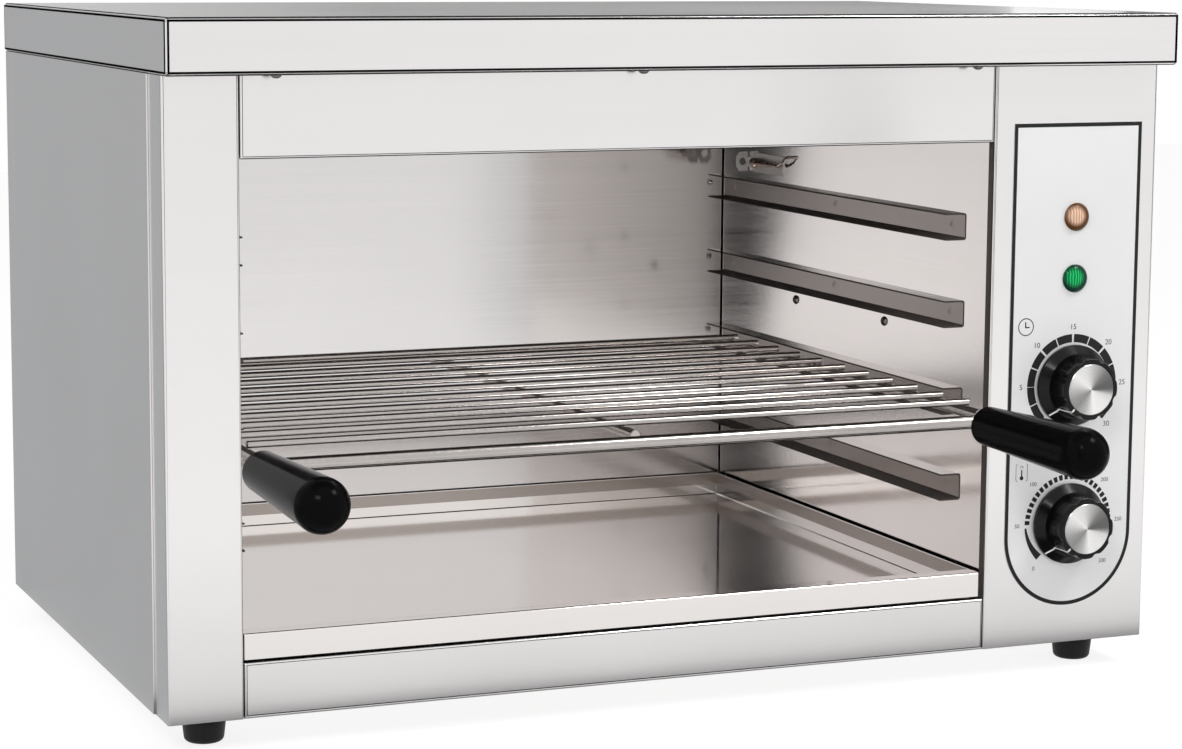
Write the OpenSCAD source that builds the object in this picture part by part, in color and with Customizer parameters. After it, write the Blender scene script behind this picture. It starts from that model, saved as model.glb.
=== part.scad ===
// Cheese melter: a table-top grill in folded sheet steel with a pull-out wire rack,
// a crumb tray, four pairs of rack rails and a control column on the right.
//
// +X is right, -Y is the front, +Z is up, and one unit is a millimetre.
// The origin is the centre of the whole footprint, handles and cable gland included,
// at the height of the table top.

/* [Body] */
// Width across the two front columns
body_w = 600; // [570:5:700]
// Depth from the front face to the back panel
body_d = 379; // [350:1:440]
// Height of the body between the feet and the top cover
body_h = 342; // [330:1:400]
// Thickness of the sheet metal
sheet = 1; // [0.8:0.1:1.4]
// Gap between neighbouring front panels
panel_gap = 0.5; // [0.2:0.1:1]
// Depth of the flanges folded back from the panels
fold_d = 15; // [12:0.5:18]
// Width of the left front column
column_w = 41.5; // [36:0.5:50]
// Width of the control panel
control_w = 108.5; // [104:0.5:125]
// Height of the fascia above the opening
top_fascia_h = 44; // [38:1:54]
// Height of the fascia below the opening
bottom_fascia_h = 30; // [26:1:40]
// Distance from the front face back to the side panels' front edges
side_lap = 26.5; // [20:0.5:34]
// How far the back panel wraps round onto each side
rear_wrap = 18.5; // [17:0.5:26]

/* [Top cover] */
// Height of the top cover
cover_h = 30; // [24:1:40]
// Overhang of the top cover beyond the columns, at each side
cover_side = 2; // [1.5:0.5:6]
// Overhang of the top cover in front of the body
cover_front = 17; // [12:1:26]
// Distance that the top cover stops short of the back panel
cover_rear = 2; // [0:0.5:5]
// Outer bend radius of the top cover
cover_r = 2.5; // [2:0.5:6]
// Distance of the outer cover screws from the fascia's ends
cover_screw_inset = 17; // [10:1:40]

/* [Feet] */
// Height of the feet
foot_h = 18; // [16:1:30]
// Radius of a foot where it meets the body
foot_r = 13; // [12:0.5:16]
// Radius of a foot at the table
foot_tip_r = 11; // [10:0.5:12]
// Distance of the feet's axes from the sides of the body
foot_inset_x = 28; // [26:1:34]
// Distance of the feet's axes from the front and the back of the body
foot_inset_y = 31.5; // [28:0.5:45]
// Radius of the foot screws' shanks
foot_screw_r = 2.5; // [2:0.5:3]

/* [Chamber] */
// Step from the left column's inner edge to the chamber's left wall
wall_step = 4; // [3:0.5:6]
// Distance from the front face to the chamber walls' front edges
wall_setback = 5; // [4:0.5:8]
// Space between the chamber's back wall and the back of the body
rear_cavity = 18.5; // [17.5:0.5:26]
// Height of the ceiling above the opening's top edge
ceiling_rise = 24; // [21:1:28]
// Thickness of the insulation mat on the ceiling
mat_h = 12; // [6:1:16]

/* [Rack rails] */
// Height of a rail
rail_h = 16; // [14:0.5:20]
// Width of a rail's flanges
rail_d = 13.5; // [12.5:0.5:18]
// Vertical distance from one rail to the next
rail_pitch = 51.5; // [44:0.5:54]
// Height of the lowest rail's top above the chamber floor
rail_first = 70; // [60:1:80]
// Distance from the front face to the rails' front ends
rail_front = 28.5; // [24:0.5:32]
// Distance from the rails' rear ends to the back wall
rail_rear = 5.5; // [3:0.5:12]
// Radius of the rivets that hold the rails
rivet_r = 1.5; // [1:0.25:2]

/* [Heating] */
// Radius of the heating elements' tubes
element_r = 4; // [3.25:0.25:4.5]
// Distance between the two legs of an element
element_legs = 40; // [30:1:44]
// Distance from one element to the next
element_pitch = 90; // [70:1:94]
// Distance of the element tubes' axes below the ceiling
element_drop = 11; // [8:0.5:12]

/* [Rack] */
// Rail that carries the rack, counted from the bottom
rack_level = 2; // [1:1:4]
// Gap from the rack's side rods to the rails, at each side
rack_side_gap = 5; // [3:0.5:5.5]
// How far the rack and the tray sit to the right of the chamber's middle
slide_shift = 1; // [-1:0.5:1]
// Running clearance under and around the rack and the tray
slide_gap = 0.3; // [0.2:0.05:0.5]
// Radius of the rack's side rods
rod_r = 3.5; // [3:0.25:4]
// Radius of the rack's front bar
front_bar_r = 4; // [3.5:0.25:4.5]
// Radius of the rack's cross wires
wire_r = 2; // [1.5:0.25:2.5]
// Distance from one cross wire to the next
wire_pitch = 31; // [20:0.5:40]
// Distance that the rack stands out in front of the body
rack_front = 8; // [6:0.5:14]
// Distance from the rack to the chamber's back wall
rack_rear = 8; // [6:0.5:14]

/* [Handles] */
// Length of a handle
handle_l = 116; // [90:1:130]
// Largest radius of a handle, at its front end
handle_r = 14.5; // [13:0.25:16]
// Radius of a handle at its rear end
handle_rear_r = 11.3; // [9:0.1:12.5]
// Gap between the rack's front bar and the handles
handle_gap = 5; // [3:0.5:12]
// How deep the rack's tangs go into the handles
tang_depth = 30; // [20:1:50]

/* [Crumb tray] */
// Height of the tray's rim above the chamber floor
tray_h = 15.8; // [12:0.1:22]
// Gap from the tray to each side wall
tray_side_gap = 4; // [3:0.5:6]
// Gap from the tray to the back wall
tray_rear_gap = 3; // [2:0.5:8]
// Depth of the tray's front rim, from its front wall to its lip
tray_rim_d = 10; // [6:0.5:14]

/* [Controls] */
// Thickness of the front plate behind the knobs
plate_t = 0.3; // [0.2:0.1:0.6]
// Width of the front plate
plate_w = 85.7; // [80:0.1:92]
// Distance from the body's top edge down to the front plate
plate_top = 33.6; // [28:0.1:40]
// Distance from the control panel's right edge to the knobs' axes
control_inset = 53; // [50:0.5:54]
// Height of the timer knob's axis above the body's underside
timer_z = 154.4; // [150:0.1:166]
// Height of the thermostat knob's axis above the body's underside
thermostat_z = 72; // [68:0.5:82]
// Height of the amber lamp's axis above the body's underside
amber_z = 253.5; // [246:0.5:262]
// Height of the green lamp's axis above the body's underside
green_z = 217.4; // [206:0.1:226]
// Radius of the knobs' skirts
skirt_r = 24; // [22:0.5:27]
// Radius of the knobs' grips
grip_r = 18; // [16:0.5:19]
// Radius of the caps on the knobs
cap_r = 15; // [12:0.5:15.5]
// Height of the knobs
knob_h = 20.6; // [18:0.1:24]
// Radius of the control shafts
shaft_r = 3; // [2.5:0.25:3.5]
// Radius of the lamps' lenses
lens_r = 6; // [5:0.25:7]
// Width of the timer's and the thermostat's bodies
switch_w = 44; // [38:1:50]
// Depth of the timer's and the thermostat's bodies
switch_d = 38; // [32:1:48]

/* [Cable gland] */
// Radius of the cord's way through the gland
gland_bore_r = 5; // [4:0.25:6]
// Length of the gland outside the back panel
gland_l = 12; // [9:0.5:16]

/* [Hidden] */
$fn = 64;

// Colours
steel = [0.80, 0.79, 0.78];
steel_dull = [0.62, 0.60, 0.58];
steel_wire = [0.55, 0.54, 0.53];
plate_white = [0.86, 0.86, 0.85];
black_plastic = [0.06, 0.06, 0.06];
rubber_black = [0.05, 0.05, 0.05];

// Fits
shaft_gap = 0.06;
pin_gap = 0.05;
screw_gap = 0.1;
seat_gap = 0.2;
join = 0.1;
cut_over = 1;

// Outline of the body; the rack's front bar lies just inside the side rods' front ends
bar_setback = front_bar_r / 2;
front_reach = rack_front + handle_gap + handle_l + front_bar_r - bar_setback;
y_front = (front_reach - gland_l - body_d) / 2;
y_back = y_front + body_d;
x_left = -body_w / 2;
x_right = body_w / 2;
z_under = foot_h;
z_top = z_under + body_h;
pan_top = z_under + sheet;
side_overlap = 3;
side_return = side_lap + fold_d + side_overlap;
flange_gap = 1;
joggle_d = 12;
joggle_lap = 2;
rear_relief = 2;
cover_ledge = fold_d - sheet;

// Front openings between the columns
column_edge = x_left + column_w;
panel_edge = x_right - control_w;
fascia_left = column_edge + panel_gap;
fascia_right = panel_edge - panel_gap;
fascia_mid = (fascia_left + fascia_right) / 2;
end_return = wall_setback - sheet;
opening_top = z_top - top_fascia_h;

// Inside faces of the chamber
chamber_left = column_edge - wall_step;
chamber_right = panel_edge - sheet;
chamber_back = y_back - rear_cavity;
floor_top = z_under + panel_gap + bottom_fascia_h;
ceiling = opening_top + ceiling_rise;
chamber_mid_x = (chamber_left + chamber_right) / 2;
chamber_mid_y = (y_front + wall_setback + chamber_back) / 2;
slide_mid_x = chamber_mid_x + slide_shift;
fascia_lip = 5;
fascia_fold = fold_d + fascia_lip;

// Screws and feet
screw_head_h = 2;
rear_screw_r = 3.5;
rear_screw_l = 6;
rear_screw_inset = 9.5;
cover_screw_l = 7;
foot_rim_r = 3;
foot_seat_h = 6;
foot_head_r = foot_screw_r + 2;
foot_head_h = 3;
foot_head_gap = 0.5;
foot_nut_r = foot_screw_r + 2.1;
foot_nut_h = 4;
foot_thread_end = 7;

// Rails
rail_y0 = y_front + rail_front;
rail_y1 = chamber_back - rail_rear;
rivet_margin = 16;
rivet_head_r = rivet_r + 0.6;
rivet_head_h = 0.5;
function rail_top(level) = floor_top + rail_first + (level - 1) * rail_pitch;

// Heating
element_z = ceiling - element_drop;
element_inset = 40;
bend_x = chamber_left + element_inset;
element_wall_gap = 0.25;
element_tail = 14;
terminal_r = 1.75;
terminal_l = 15;
nut_wall = 3.5;
nut_r = element_r + nut_wall;
nut_l = 5;
function leg_y(number, side) =
    chamber_mid_y + (number - 2) * element_pitch + side * element_legs / 2;
hanger_near = 84;
hanger_far = 262;
hanger_x = [chamber_left + hanger_near, chamber_left + hanger_far];
hanger_t = 1.5;
hanger_rim = 3;

// Thermostat bulb on the right wall
bulb_r = 3;
bulb_l = 33;
bulb_drop = 56.3;
bulb_inset = 57;
bulb_z = ceiling - bulb_drop;
bulb_y1 = chamber_back - bulb_inset;
bulb_y0 = bulb_y1 - bulb_l;
clip_lead = 3;
clip_tail = 10.5;
clip_neck = 7;
clip_w = 13;
clip_y0 = bulb_y0 - clip_lead;
clip_y1 = bulb_y1 + clip_tail;
tab_out = 8;
tab_hole_in = 3.5;
tab_hole_r = 2.6;
clip_face = chamber_right - sheet;
bulb_x = clip_face - seat_gap - bulb_r;
capillary_r = 1;
capillary_lead = 16;
capillary_rise = 6.9;
capillary_y = bulb_y0 - capillary_lead;
capillary_z = bulb_z + capillary_rise;
duct_gap = 13;

// Bracket and terminal block behind the right wall
wall_screw_inset = 114;
wall_screw_pitch = 120.5;
wall_screw_drop = 7.8;
wall_screw_rear = chamber_back - wall_screw_inset;
wall_screw_y = [wall_screw_rear - wall_screw_pitch, wall_screw_rear];
wall_screw_z = rail_top(3) - rail_h - wall_screw_drop;
wall_screw_r = 3;
wall_screw_l = 8;
bracket_margin = 12;
bracket_w = 30;
bracket_h = 26;
bracket_z = wall_screw_z - bracket_h / 2;
block_size = [22, 70, 18];
block_gap = 6;
block_hole_r = 2.5;
block_hole_inset = 5;
block_hole_floor = 10;
block_ways = 5;
block_x = panel_edge + block_gap;
block_y = (wall_screw_y[0] + wall_screw_y[1] - block_size[1]) / 2;
block_z = bracket_z + sheet;
cable_r = 1.3;
cable_drop = 6;
cable_turn = 12;
cable_side = 8;
cable_sweep = 20;

// Rack; its bars and wires stand a weld's gap apart
weld_gap = 0.1;
web_left = chamber_left + sheet;
web_right = chamber_right - sheet;
rod_x = (web_right - web_left) / 2 - rack_side_gap - rod_r;
rod_z = rail_top(rack_level) - rail_h + sheet + slide_gap + rod_r;
wire_z = rod_z + rod_r + weld_gap + wire_r;
wire_over = 1.5;
centre_rod_r = 3;
centre_rod_z = rod_z + rod_r - centre_rod_r;
rack_y0 = y_front - rack_front;
rack_y1 = chamber_back - rack_rear;
front_bar_y = rack_y0 + bar_setback;
front_bar_drop = 3.8;
front_bar_z = rod_z - front_bar_drop;
rear_bar_y = rack_y1 - rod_r;
centre_over_bar = centre_rod_z - centre_rod_r - front_bar_z;
centre_rod_y0 = front_bar_y + sqrt(pow(front_bar_r, 2) - pow(centre_over_bar, 2)) + weld_gap;
centre_rod_y1 = rear_bar_y - rod_r - weld_gap;
wire_margin = 15;
wire_first = front_bar_y + wire_margin;
wire_count = floor((rear_bar_y - wire_margin - wire_first) / wire_pitch) + 1;
tang_weld = 2.2;
tang_z = rod_z - 2 * rod_r + tang_weld;
tang_reach = 13;
tang_y = y_front + tang_reach;
handle_y = front_bar_y - front_bar_r - handle_gap;
handle_rim_r = 1.5;

// Crumb tray
tray_half = (chamber_right - chamber_left) / 2 - tray_side_gap;
tray_x0 = slide_mid_x - tray_half;
tray_x1 = slide_mid_x + tray_half;
tray_z = floor_top + slide_gap;
tray_rim_z = floor_top + tray_h;
tray_y0 = y_front + tray_rim_d;
tray_y1 = chamber_back - tray_rear_gap;
tray_lip_gap = 0.8;
tray_lip_over = 0.5;
tray_lip_return = 8;

// Controls
control_x = x_right - control_inset;
face_y = y_front - plate_t;
plate_drop = 6.6;
plate_bottom_z = z_under + thermostat_z - plate_drop;
plate_corner_r = 0.5;
knob_gap = 0.6;
knob_back = face_y - knob_gap;
skirt_edge = 2.5;
skirt_bevel = 4;
knob_shoulder = 1.5;
lobe_count = 8;
flute_r = 4.5;
flute_cut = 1.2;
knob_bore = 14;
cap_t = 1;
cap_recess = 0.6;
bush_r = 5;
shaft_depth = 20;
lens_proud = 4;
bezel_rim = 1.5;
bezel_r = lens_r + bezel_rim;
bezel_h = 2;
lens_shoulder = 1.5;
stem_r = lens_r - lens_shoulder;
stem_l = 8;
socket_l = 26;

// Cable gland and the vents beside it
gland_x = control_x;
gland_rise = 42;
gland_z = z_under + gland_rise;
gland_flange = 6;
gland_wall = 3;
gland_r = gland_bore_r + gland_flange;
gland_thread_r = gland_bore_r + gland_wall;
gland_nut_l = 5;
gland_thread_end = 3;
gland_collar_l = 4;
gland_collar_step = 2;
vent_l = 60;
vent_h = 4;
vent_pitch = 12;
vent_count = 6;

// Box between its lowest and its highest corner
module box(low, high) {
    translate(low)
        cube([high[0] - low[0], high[1] - low[1], high[2] - low[2]]);
}

// Round bar along X, from x0 to x1
module bar_x(x0, x1, y, z, r) {
    translate([x0, y, z])
        rotate([0, 90, 0])
            cylinder(h = x1 - x0, r = r);
}

// Round bar along Y, from y0 to y1
module bar_y(x, y0, y1, z, r) {
    translate([x, y0, z])
        rotate([-90, 0, 0])
            cylinder(h = y1 - y0, r = r);
}

// Round bar along Z, from z0 to z1
module bar_z(x, y, z0, z1, r) {
    translate([x, y, z0])
        cylinder(h = z1 - z0, r = r);
}

// Round bar between two points
module rod(from, to, r) {
    run = to - from;
    length = norm(run);
    translate(from)
        rotate([0, acos(run[2] / length), atan2(run[1], run[0])])
            cylinder(h = length, r = r);
}

// Bent wire through a list of points, with a bead at each bend
module wire(points, r) {
    for (i = [0 : len(points) - 2])
        rod(points[i], points[i + 1], r);
    for (i = [1 : len(points) - 2])
        translate(points[i])
            sphere(r = r * 1.12);
}

// Rectangle with rounded corners, between two corners
module rounded_rect(low, high, r) {
    for (x = [low[0] + r, high[0] - r])
        for (y = [low[1] + r, high[1] - r])
            translate([x, y])
                circle(r = r);
    translate([low[0] + r, low[1]])
        square([high[0] - low[0] - 2 * r, high[1] - low[1]]);
    translate([low[0], low[1] + r])
        square([high[0] - low[0], high[1] - low[1] - 2 * r]);
}

// Turned shape about the Y axis through [x, z]; the profile is [radius, distance forward]
module turned_forward(x, y, z) {
    translate([x, y, z])
        rotate([90, 0, 0])
            rotate_extrude()
                children();
}

// ---- Outer casing -------------------------------------------------------------------

module base_pan() {
    color(steel_dull)
        difference() {
            box([x_left + sheet, y_front + sheet, z_under], [x_right - sheet, y_back - sheet, pan_top]);
            each_foot()
                translate([0, 0, z_under - sheet])
                    cylinder(h = 3 * sheet, r = foot_screw_r + screw_gap);
            for (i = [0 : vent_count - 1])
                translate([gland_x - vent_l / 2, chamber_mid_y + i * vent_pitch, z_under - sheet])
                    cube([vent_l, vent_h, 3 * sheet]);
        }
}

module each_foot() {
    for (x = [x_left + foot_inset_x, x_right - foot_inset_x])
        for (y = [y_front + foot_inset_y, y_back - foot_inset_y])
            translate([x, y, 0])
                children();
}

module left_column() {
    color(steel)
        union() {
            box([x_left, y_front, z_under], [column_edge, y_front + sheet, z_top]);
            box([x_left, y_front, z_under], [x_left + sheet, y_front + side_return, z_top]);
            box([column_edge - sheet, y_front, pan_top], [column_edge, y_front + wall_setback, z_top]);
            box([x_left, y_front, z_top - sheet], [column_edge, y_front + fold_d, z_top]);
        }
}

module control_panel() {
    color(steel)
        difference() {
            union() {
                box([panel_edge, y_front, z_under], [x_right, y_front + sheet, z_top]);
                box([x_right - sheet, y_front, z_under], [x_right, y_front + side_return, z_top]);
                box([panel_edge, y_front, pan_top], [panel_edge + sheet, y_front + fold_d, z_top]);
                box([panel_edge, y_front, z_top - sheet], [x_right, y_front + fold_d, z_top]);
            }
            for (z = [timer_z, thermostat_z])
                bar_y(control_x, y_front - sheet, y_front + 2 * sheet, z_under + z, bush_r + screw_gap);
            for (z = [amber_z, green_z])
                bar_y(control_x, y_front - sheet, y_front + 2 * sheet, z_under + z, stem_r + screw_gap);
        }
}

// Left side panel with its flanges and the joggled strip behind the back panel's return
module side_panel() {
    y0 = y_front + side_lap;
    y1 = y_back - rear_wrap;
    flange_y0 = y_front + side_return + flange_gap;
    box([x_left - sheet, y0, z_under], [x_left, y1, z_top]);
    box([x_left - sheet, flange_y0, pan_top], [x_left + fold_d, y1, pan_top + sheet]);
    box([x_left - sheet, flange_y0, z_top - sheet], [x_left + fold_d, y1, z_top]);
    box([x_left, y1 - joggle_lap, pan_top], [x_left + sheet, y1 + joggle_d, z_top]);
}

module left_side_panel() {
    color(steel)
        side_panel();
}

module right_side_panel() {
    color(steel)
        mirror([1, 0, 0])
            side_panel();
}

module back_panel() {
    inner = x_right - 2 * sheet;
    fold_y = y_back - rear_wrap + rear_relief;
    color(steel)
        difference() {
            union() {
                box([x_left - sheet, y_back - sheet, z_under], [x_right + sheet, y_back, z_top]);
                for (x = [x_left - sheet, x_right])
                    box([x, y_back - rear_wrap, z_under], [x + sheet, y_back, z_top]);
                for (z = [pan_top, z_top - sheet])
                    box([-inner, fold_y, z], [inner, y_back, z + sheet]);
            }
            for (i = [0 : vent_count - 1])
                translate([gland_x - vent_l / 2, y_back - 2 * sheet, opening_top - i * vent_pitch])
                    cube([vent_l, 3 * sheet, vent_h]);
            bar_y(gland_x, y_back - 2 * sheet, y_back + sheet, gland_z, gland_thread_r + screw_gap);
            each_rear_screw()
                bar_y(0, y_back - 2 * sheet, y_back + sheet, 0, wall_screw_r / 2 + screw_gap);
        }
}

module each_rear_screw() {
    for (x = [x_left + rear_screw_inset, 0, x_right - rear_screw_inset])
        for (z = [z_under + rear_screw_inset, z_top - rear_screw_inset])
            translate([x, 0, z])
                children();
}

// Screw with a rounded head, its shank pointing forward
module rear_screw() {
    bar_y(0, y_back - rear_screw_l, y_back + join, 0, wall_screw_r / 2);
    translate([0, y_back, 0])
        rotate([-90, 0, 0])
            pan_head(rear_screw_r, screw_head_h);
}

// Low rounded screw head on Z = 0
module pan_head(r, h) {
    dome = (r * r + h * h) / (2 * h);
    intersection() {
        cylinder(h = h, r = r);
        translate([0, 0, h - dome])
            sphere(r = dome);
    }
}

module rear_screws() {
    color(steel_dull)
        each_rear_screw()
            rear_screw();
}

// Rounded block: bends along all three directions, between two corners
module bent_block(low, high, r) {
    size = high - low;
    translate(low)
        intersection() {
            linear_extrude(height = size[2])
                rounded_rect([0, 0], [size[0], size[1]], r);
            translate([0, size[1], 0])
                rotate([90, 0, 0])
                    linear_extrude(height = size[1])
                        rounded_rect([0, 0], [size[0], size[2]], r);
            rotate([90, 0, 90])
                linear_extrude(height = size[0])
                    rounded_rect([0, 0], [size[1], size[2]], r);
        }
}

module top_cover() {
    low = [x_left - cover_side, y_front - cover_front, z_top];
    high = [x_right + cover_side, y_back - cover_rear, z_top + cover_h];
    wall = [sheet, sheet, sheet];
    color(steel)
        difference() {
            bent_block(low, high, cover_r);
            bent_block(low + wall, high - wall, cover_r - sheet);
            box([x_left + cover_ledge, y_front + cover_ledge, z_top - sheet],
                [x_right - cover_ledge, y_back - cover_rear - cover_ledge, z_top + cover_h / 2]);
            for (x = cover_screw_x())
                bar_z(x, y_front - cover_front / 2, z_top - sheet, z_top + 2 * sheet,
                      wall_screw_r / 2 + screw_gap);
        }
}

function cover_screw_x() =
    [fascia_left + cover_screw_inset, fascia_mid, fascia_right - cover_screw_inset];

module cover_screws() {
    color(steel_dull)
        for (x = cover_screw_x())
            translate([x, y_front - cover_front / 2, z_top]) {
                translate([0, 0, -join])
                    cylinder(h = cover_screw_l, r = wall_screw_r / 2);
                rotate([180, 0, 0])
                    pan_head(wall_screw_r, screw_head_h);
            }
}

module top_fascia() {
    lip = y_front + fascia_fold;
    color(steel)
        union() {
            box([fascia_left, y_front, opening_top], [fascia_right, y_front + sheet, z_top]);
            box([fascia_left, y_front, opening_top], [fascia_left + sheet, y_front + end_return, z_top]);
            box([fascia_right - sheet, y_front, opening_top], [fascia_right, y_front + end_return, z_top]);
            box([fascia_left, y_front, opening_top], [fascia_right - sheet, lip, opening_top + sheet]);
            box([fascia_left, lip - sheet, opening_top], [fascia_right - sheet, lip, opening_top + fold_d]);
            box([fascia_left, y_front, z_top - sheet], [fascia_right, y_front + fold_d, z_top]);
        }
}

module bottom_fascia() {
    foot_z = z_under + panel_gap;
    end_y = y_front + end_return;
    fold_y = y_front + fold_d;
    color(steel)
        union() {
            box([fascia_left, y_front, foot_z], [fascia_right, y_front + sheet, floor_top]);
            box([fascia_left, y_front, pan_top], [fascia_left + sheet, end_y, floor_top]);
            box([fascia_right - sheet, y_front, pan_top], [fascia_right, end_y, floor_top]);
            box([fascia_left, y_front, floor_top - sheet], [fascia_right - sheet, fold_y, floor_top]);
            box([fascia_left, y_front, pan_top], [fascia_right - sheet, fold_y, pan_top + sheet]);
        }
}

// ---- Feet ---------------------------------------------------------------------------

// Rubber foot on its own axis, with a deep counterbore for its screw
module foot() {
    rim = foot_rim_r;
    head_top = foot_h - foot_seat_h;
    color(rubber_black)
        rotate_extrude()
            difference() {
                union() {
                    polygon([[0, rim], [foot_tip_r, rim], [foot_r, foot_h], [0, foot_h]]);
                    translate([foot_tip_r - rim, rim])
                        circle(r = rim);
                    square([foot_tip_r - rim, foot_h]);
                }
                translate([-foot_r, -cut_over])
                    square([foot_r + foot_head_r + foot_head_gap, head_top + cut_over]);
                translate([-foot_r, -cut_over])
                    square([foot_r + foot_screw_r + pin_gap, foot_h + 2 * cut_over]);
            }
}

module foot_front_left() {
    translate([x_left + foot_inset_x, y_front + foot_inset_y, 0])
        foot();
}

module foot_front_right() {
    translate([x_right - foot_inset_x, y_front + foot_inset_y, 0])
        foot();
}

module foot_rear_left() {
    translate([x_left + foot_inset_x, y_back - foot_inset_y, 0])
        foot();
}

module foot_rear_right() {
    translate([x_right - foot_inset_x, y_back - foot_inset_y, 0])
        foot();
}

// Screw up through each foot and the base pan, with its nut
module foot_screws() {
    head_top = foot_h - foot_seat_h;
    color(steel_dull)
        each_foot() {
            translate([0, 0, head_top - foot_head_h])
                cylinder(h = foot_head_h, r = foot_head_r);
            translate([0, 0, head_top - join])
                cylinder(h = pan_top + foot_thread_end + join - head_top, r = foot_screw_r);
            translate([0, 0, pan_top])
                cylinder(h = foot_nut_h, r = foot_nut_r, $fn = 6);
        }
}

// ---- Chamber ------------------------------------------------------------------------

module chamber_left_wall() {
    y0 = y_front + wall_setback - sheet;
    color(steel)
        union() {
            box([chamber_left - sheet, y0, floor_top], [chamber_left, chamber_back, ceiling]);
            box([chamber_left - sheet, y0, floor_top], [column_edge - sheet, y0 + sheet, ceiling]);
        }
}

module chamber_right_wall() {
    y0 = y_front + wall_setback;
    color(steel)
        difference() {
            box([chamber_right, y0, floor_top], [panel_edge, chamber_back, ceiling]);
            for (number = [1 : 3])
                for (side = [-1, 1])
                    bar_x(chamber_right - sheet, panel_edge + sheet, leg_y(number, side), element_z,
                          element_r + element_wall_gap);
            bar_x(chamber_right - sheet, panel_edge + sheet, capillary_y, capillary_z,
                  capillary_r + screw_gap);
            for (y = wall_screw_y)
                bar_x(chamber_right - sheet, panel_edge + sheet, y, wall_screw_z,
                      wall_screw_r / 2 + screw_gap);
        }
}

module chamber_back_wall() {
    color(steel)
        box([chamber_left - sheet, chamber_back, floor_top], [panel_edge, chamber_back + sheet, ceiling]);
}

module chamber_ceiling() {
    y0 = y_front + fascia_fold;
    color(steel_dull)
        union() {
            box([chamber_left - sheet, y0, ceiling], [panel_edge, chamber_back + sheet, ceiling + sheet]);
            box([chamber_left, y0, opening_top + sheet], [chamber_right, y0 + sheet, ceiling + sheet]);
        }
}

// Floor sheet on two legs that stand on the base pan
module chamber_floor() {
    y0 = y_front + fold_d;
    y1 = chamber_back + sheet;
    color(steel)
        union() {
            box([chamber_left - sheet, y0, floor_top - sheet], [panel_edge, y1, floor_top]);
            box([chamber_left - sheet, y0, pan_top], [chamber_left, y1, floor_top]);
            box([chamber_right, y0, pan_top], [panel_edge, y1, floor_top]);
        }
}

module insulation_mat() {
    margin = 6;
    color([0.88, 0.84, 0.70])
        box([chamber_left + margin, y_front + fascia_fold + margin, ceiling + sheet],
            [chamber_right - margin, chamber_back - margin, ceiling + sheet + mat_h]);
}

// ---- Rack rails ---------------------------------------------------------------------

function rivet_y() = [rail_y0 + rivet_margin, (rail_y0 + rail_y1) / 2, rail_y1 - rivet_margin];

// Channel on the left wall, open towards the chamber's middle
module left_channel(level) {
    top = rail_top(level);
    bottom = top - rail_h;
    difference() {
        union() {
            box([chamber_left, rail_y0, bottom], [web_left, rail_y1, top]);
            box([chamber_left, rail_y0, bottom], [chamber_left + rail_d, rail_y1, bottom + sheet]);
            box([chamber_left, rail_y0, top - sheet], [chamber_left + rail_d, rail_y1, top]);
        }
        for (y = rivet_y())
            bar_x(chamber_left - sheet, web_left + sheet, y, top - rail_h / 2, rivet_r + pin_gap);
    }
}

module rail_left(level) {
    color(steel_dull)
        left_channel(level);
}

module rail_right(level) {
    color(steel_dull)
        translate([2 * chamber_mid_x, 0, 0])
            mirror([1, 0, 0])
                left_channel(level);
}

module rail_left_1() {
    rail_left(1);
}

module rail_left_2() {
    rail_left(2);
}

module rail_left_3() {
    rail_left(3);
}

module rail_left_4() {
    rail_left(4);
}

module rail_right_1() {
    rail_right(1);
}

module rail_right_2() {
    rail_right(2);
}

module rail_right_3() {
    rail_right(3);
}

module rail_right_4() {
    rail_right(4);
}

// Flush rivets of the left rails: a shank in the web and a low head
module left_rivets() {
    for (level = [1 : 4])
        for (y = rivet_y())
            translate([chamber_left, y, rail_top(level) - rail_h / 2])
                rotate([0, 90, 0]) {
                    cylinder(h = sheet + join, r = rivet_r);
                    translate([0, 0, sheet])
                        cylinder(h = rivet_head_h, r = rivet_head_r);
                }
}

module rail_rivets() {
    color(steel_dull) {
        left_rivets();
        translate([2 * chamber_mid_x, 0, 0])
            mirror([1, 0, 0])
                left_rivets();
    }
}

// ---- Heating ------------------------------------------------------------------------

// Hairpin tube with a thin terminal at each end
module hairpin(number) {
    tube_end = panel_edge + element_tail;
    color([0.30, 0.28, 0.27])
        union() {
            for (side = [-1, 1]) {
                bar_x(bend_x, tube_end, leg_y(number, side), element_z, element_r);
                bar_x(tube_end - join, tube_end + terminal_l, leg_y(number, side), element_z,
                      terminal_r);
            }
            translate([bend_x, (leg_y(number, -1) + leg_y(number, 1)) / 2, element_z])
                intersection() {
                    rotate_extrude()
                        translate([element_legs / 2, 0])
                            circle(r = element_r);
                    translate([-element_legs, -element_legs, -element_legs])
                        cube([element_legs, 2 * element_legs, 2 * element_legs]);
                }
        }
}

module heating_element_1() {
    hairpin(1);
}

module heating_element_2() {
    hairpin(2);
}

module heating_element_3() {
    hairpin(3);
}

// Nuts that hold the elements to the outside of the right wall
module element_nuts() {
    color([0.75, 0.62, 0.35])
        for (number = [1 : 3])
            for (side = [-1, 1])
                translate([panel_edge, leg_y(number, side), element_z])
                    rotate([0, 90, 0])
                        difference() {
                            cylinder(h = nut_l, r = nut_r, $fn = 6);
                            translate([0, 0, -cut_over])
                                cylinder(h = nut_l + 2 * cut_over, r = element_r + pin_gap, $fn = 64);
                        }
}

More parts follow.
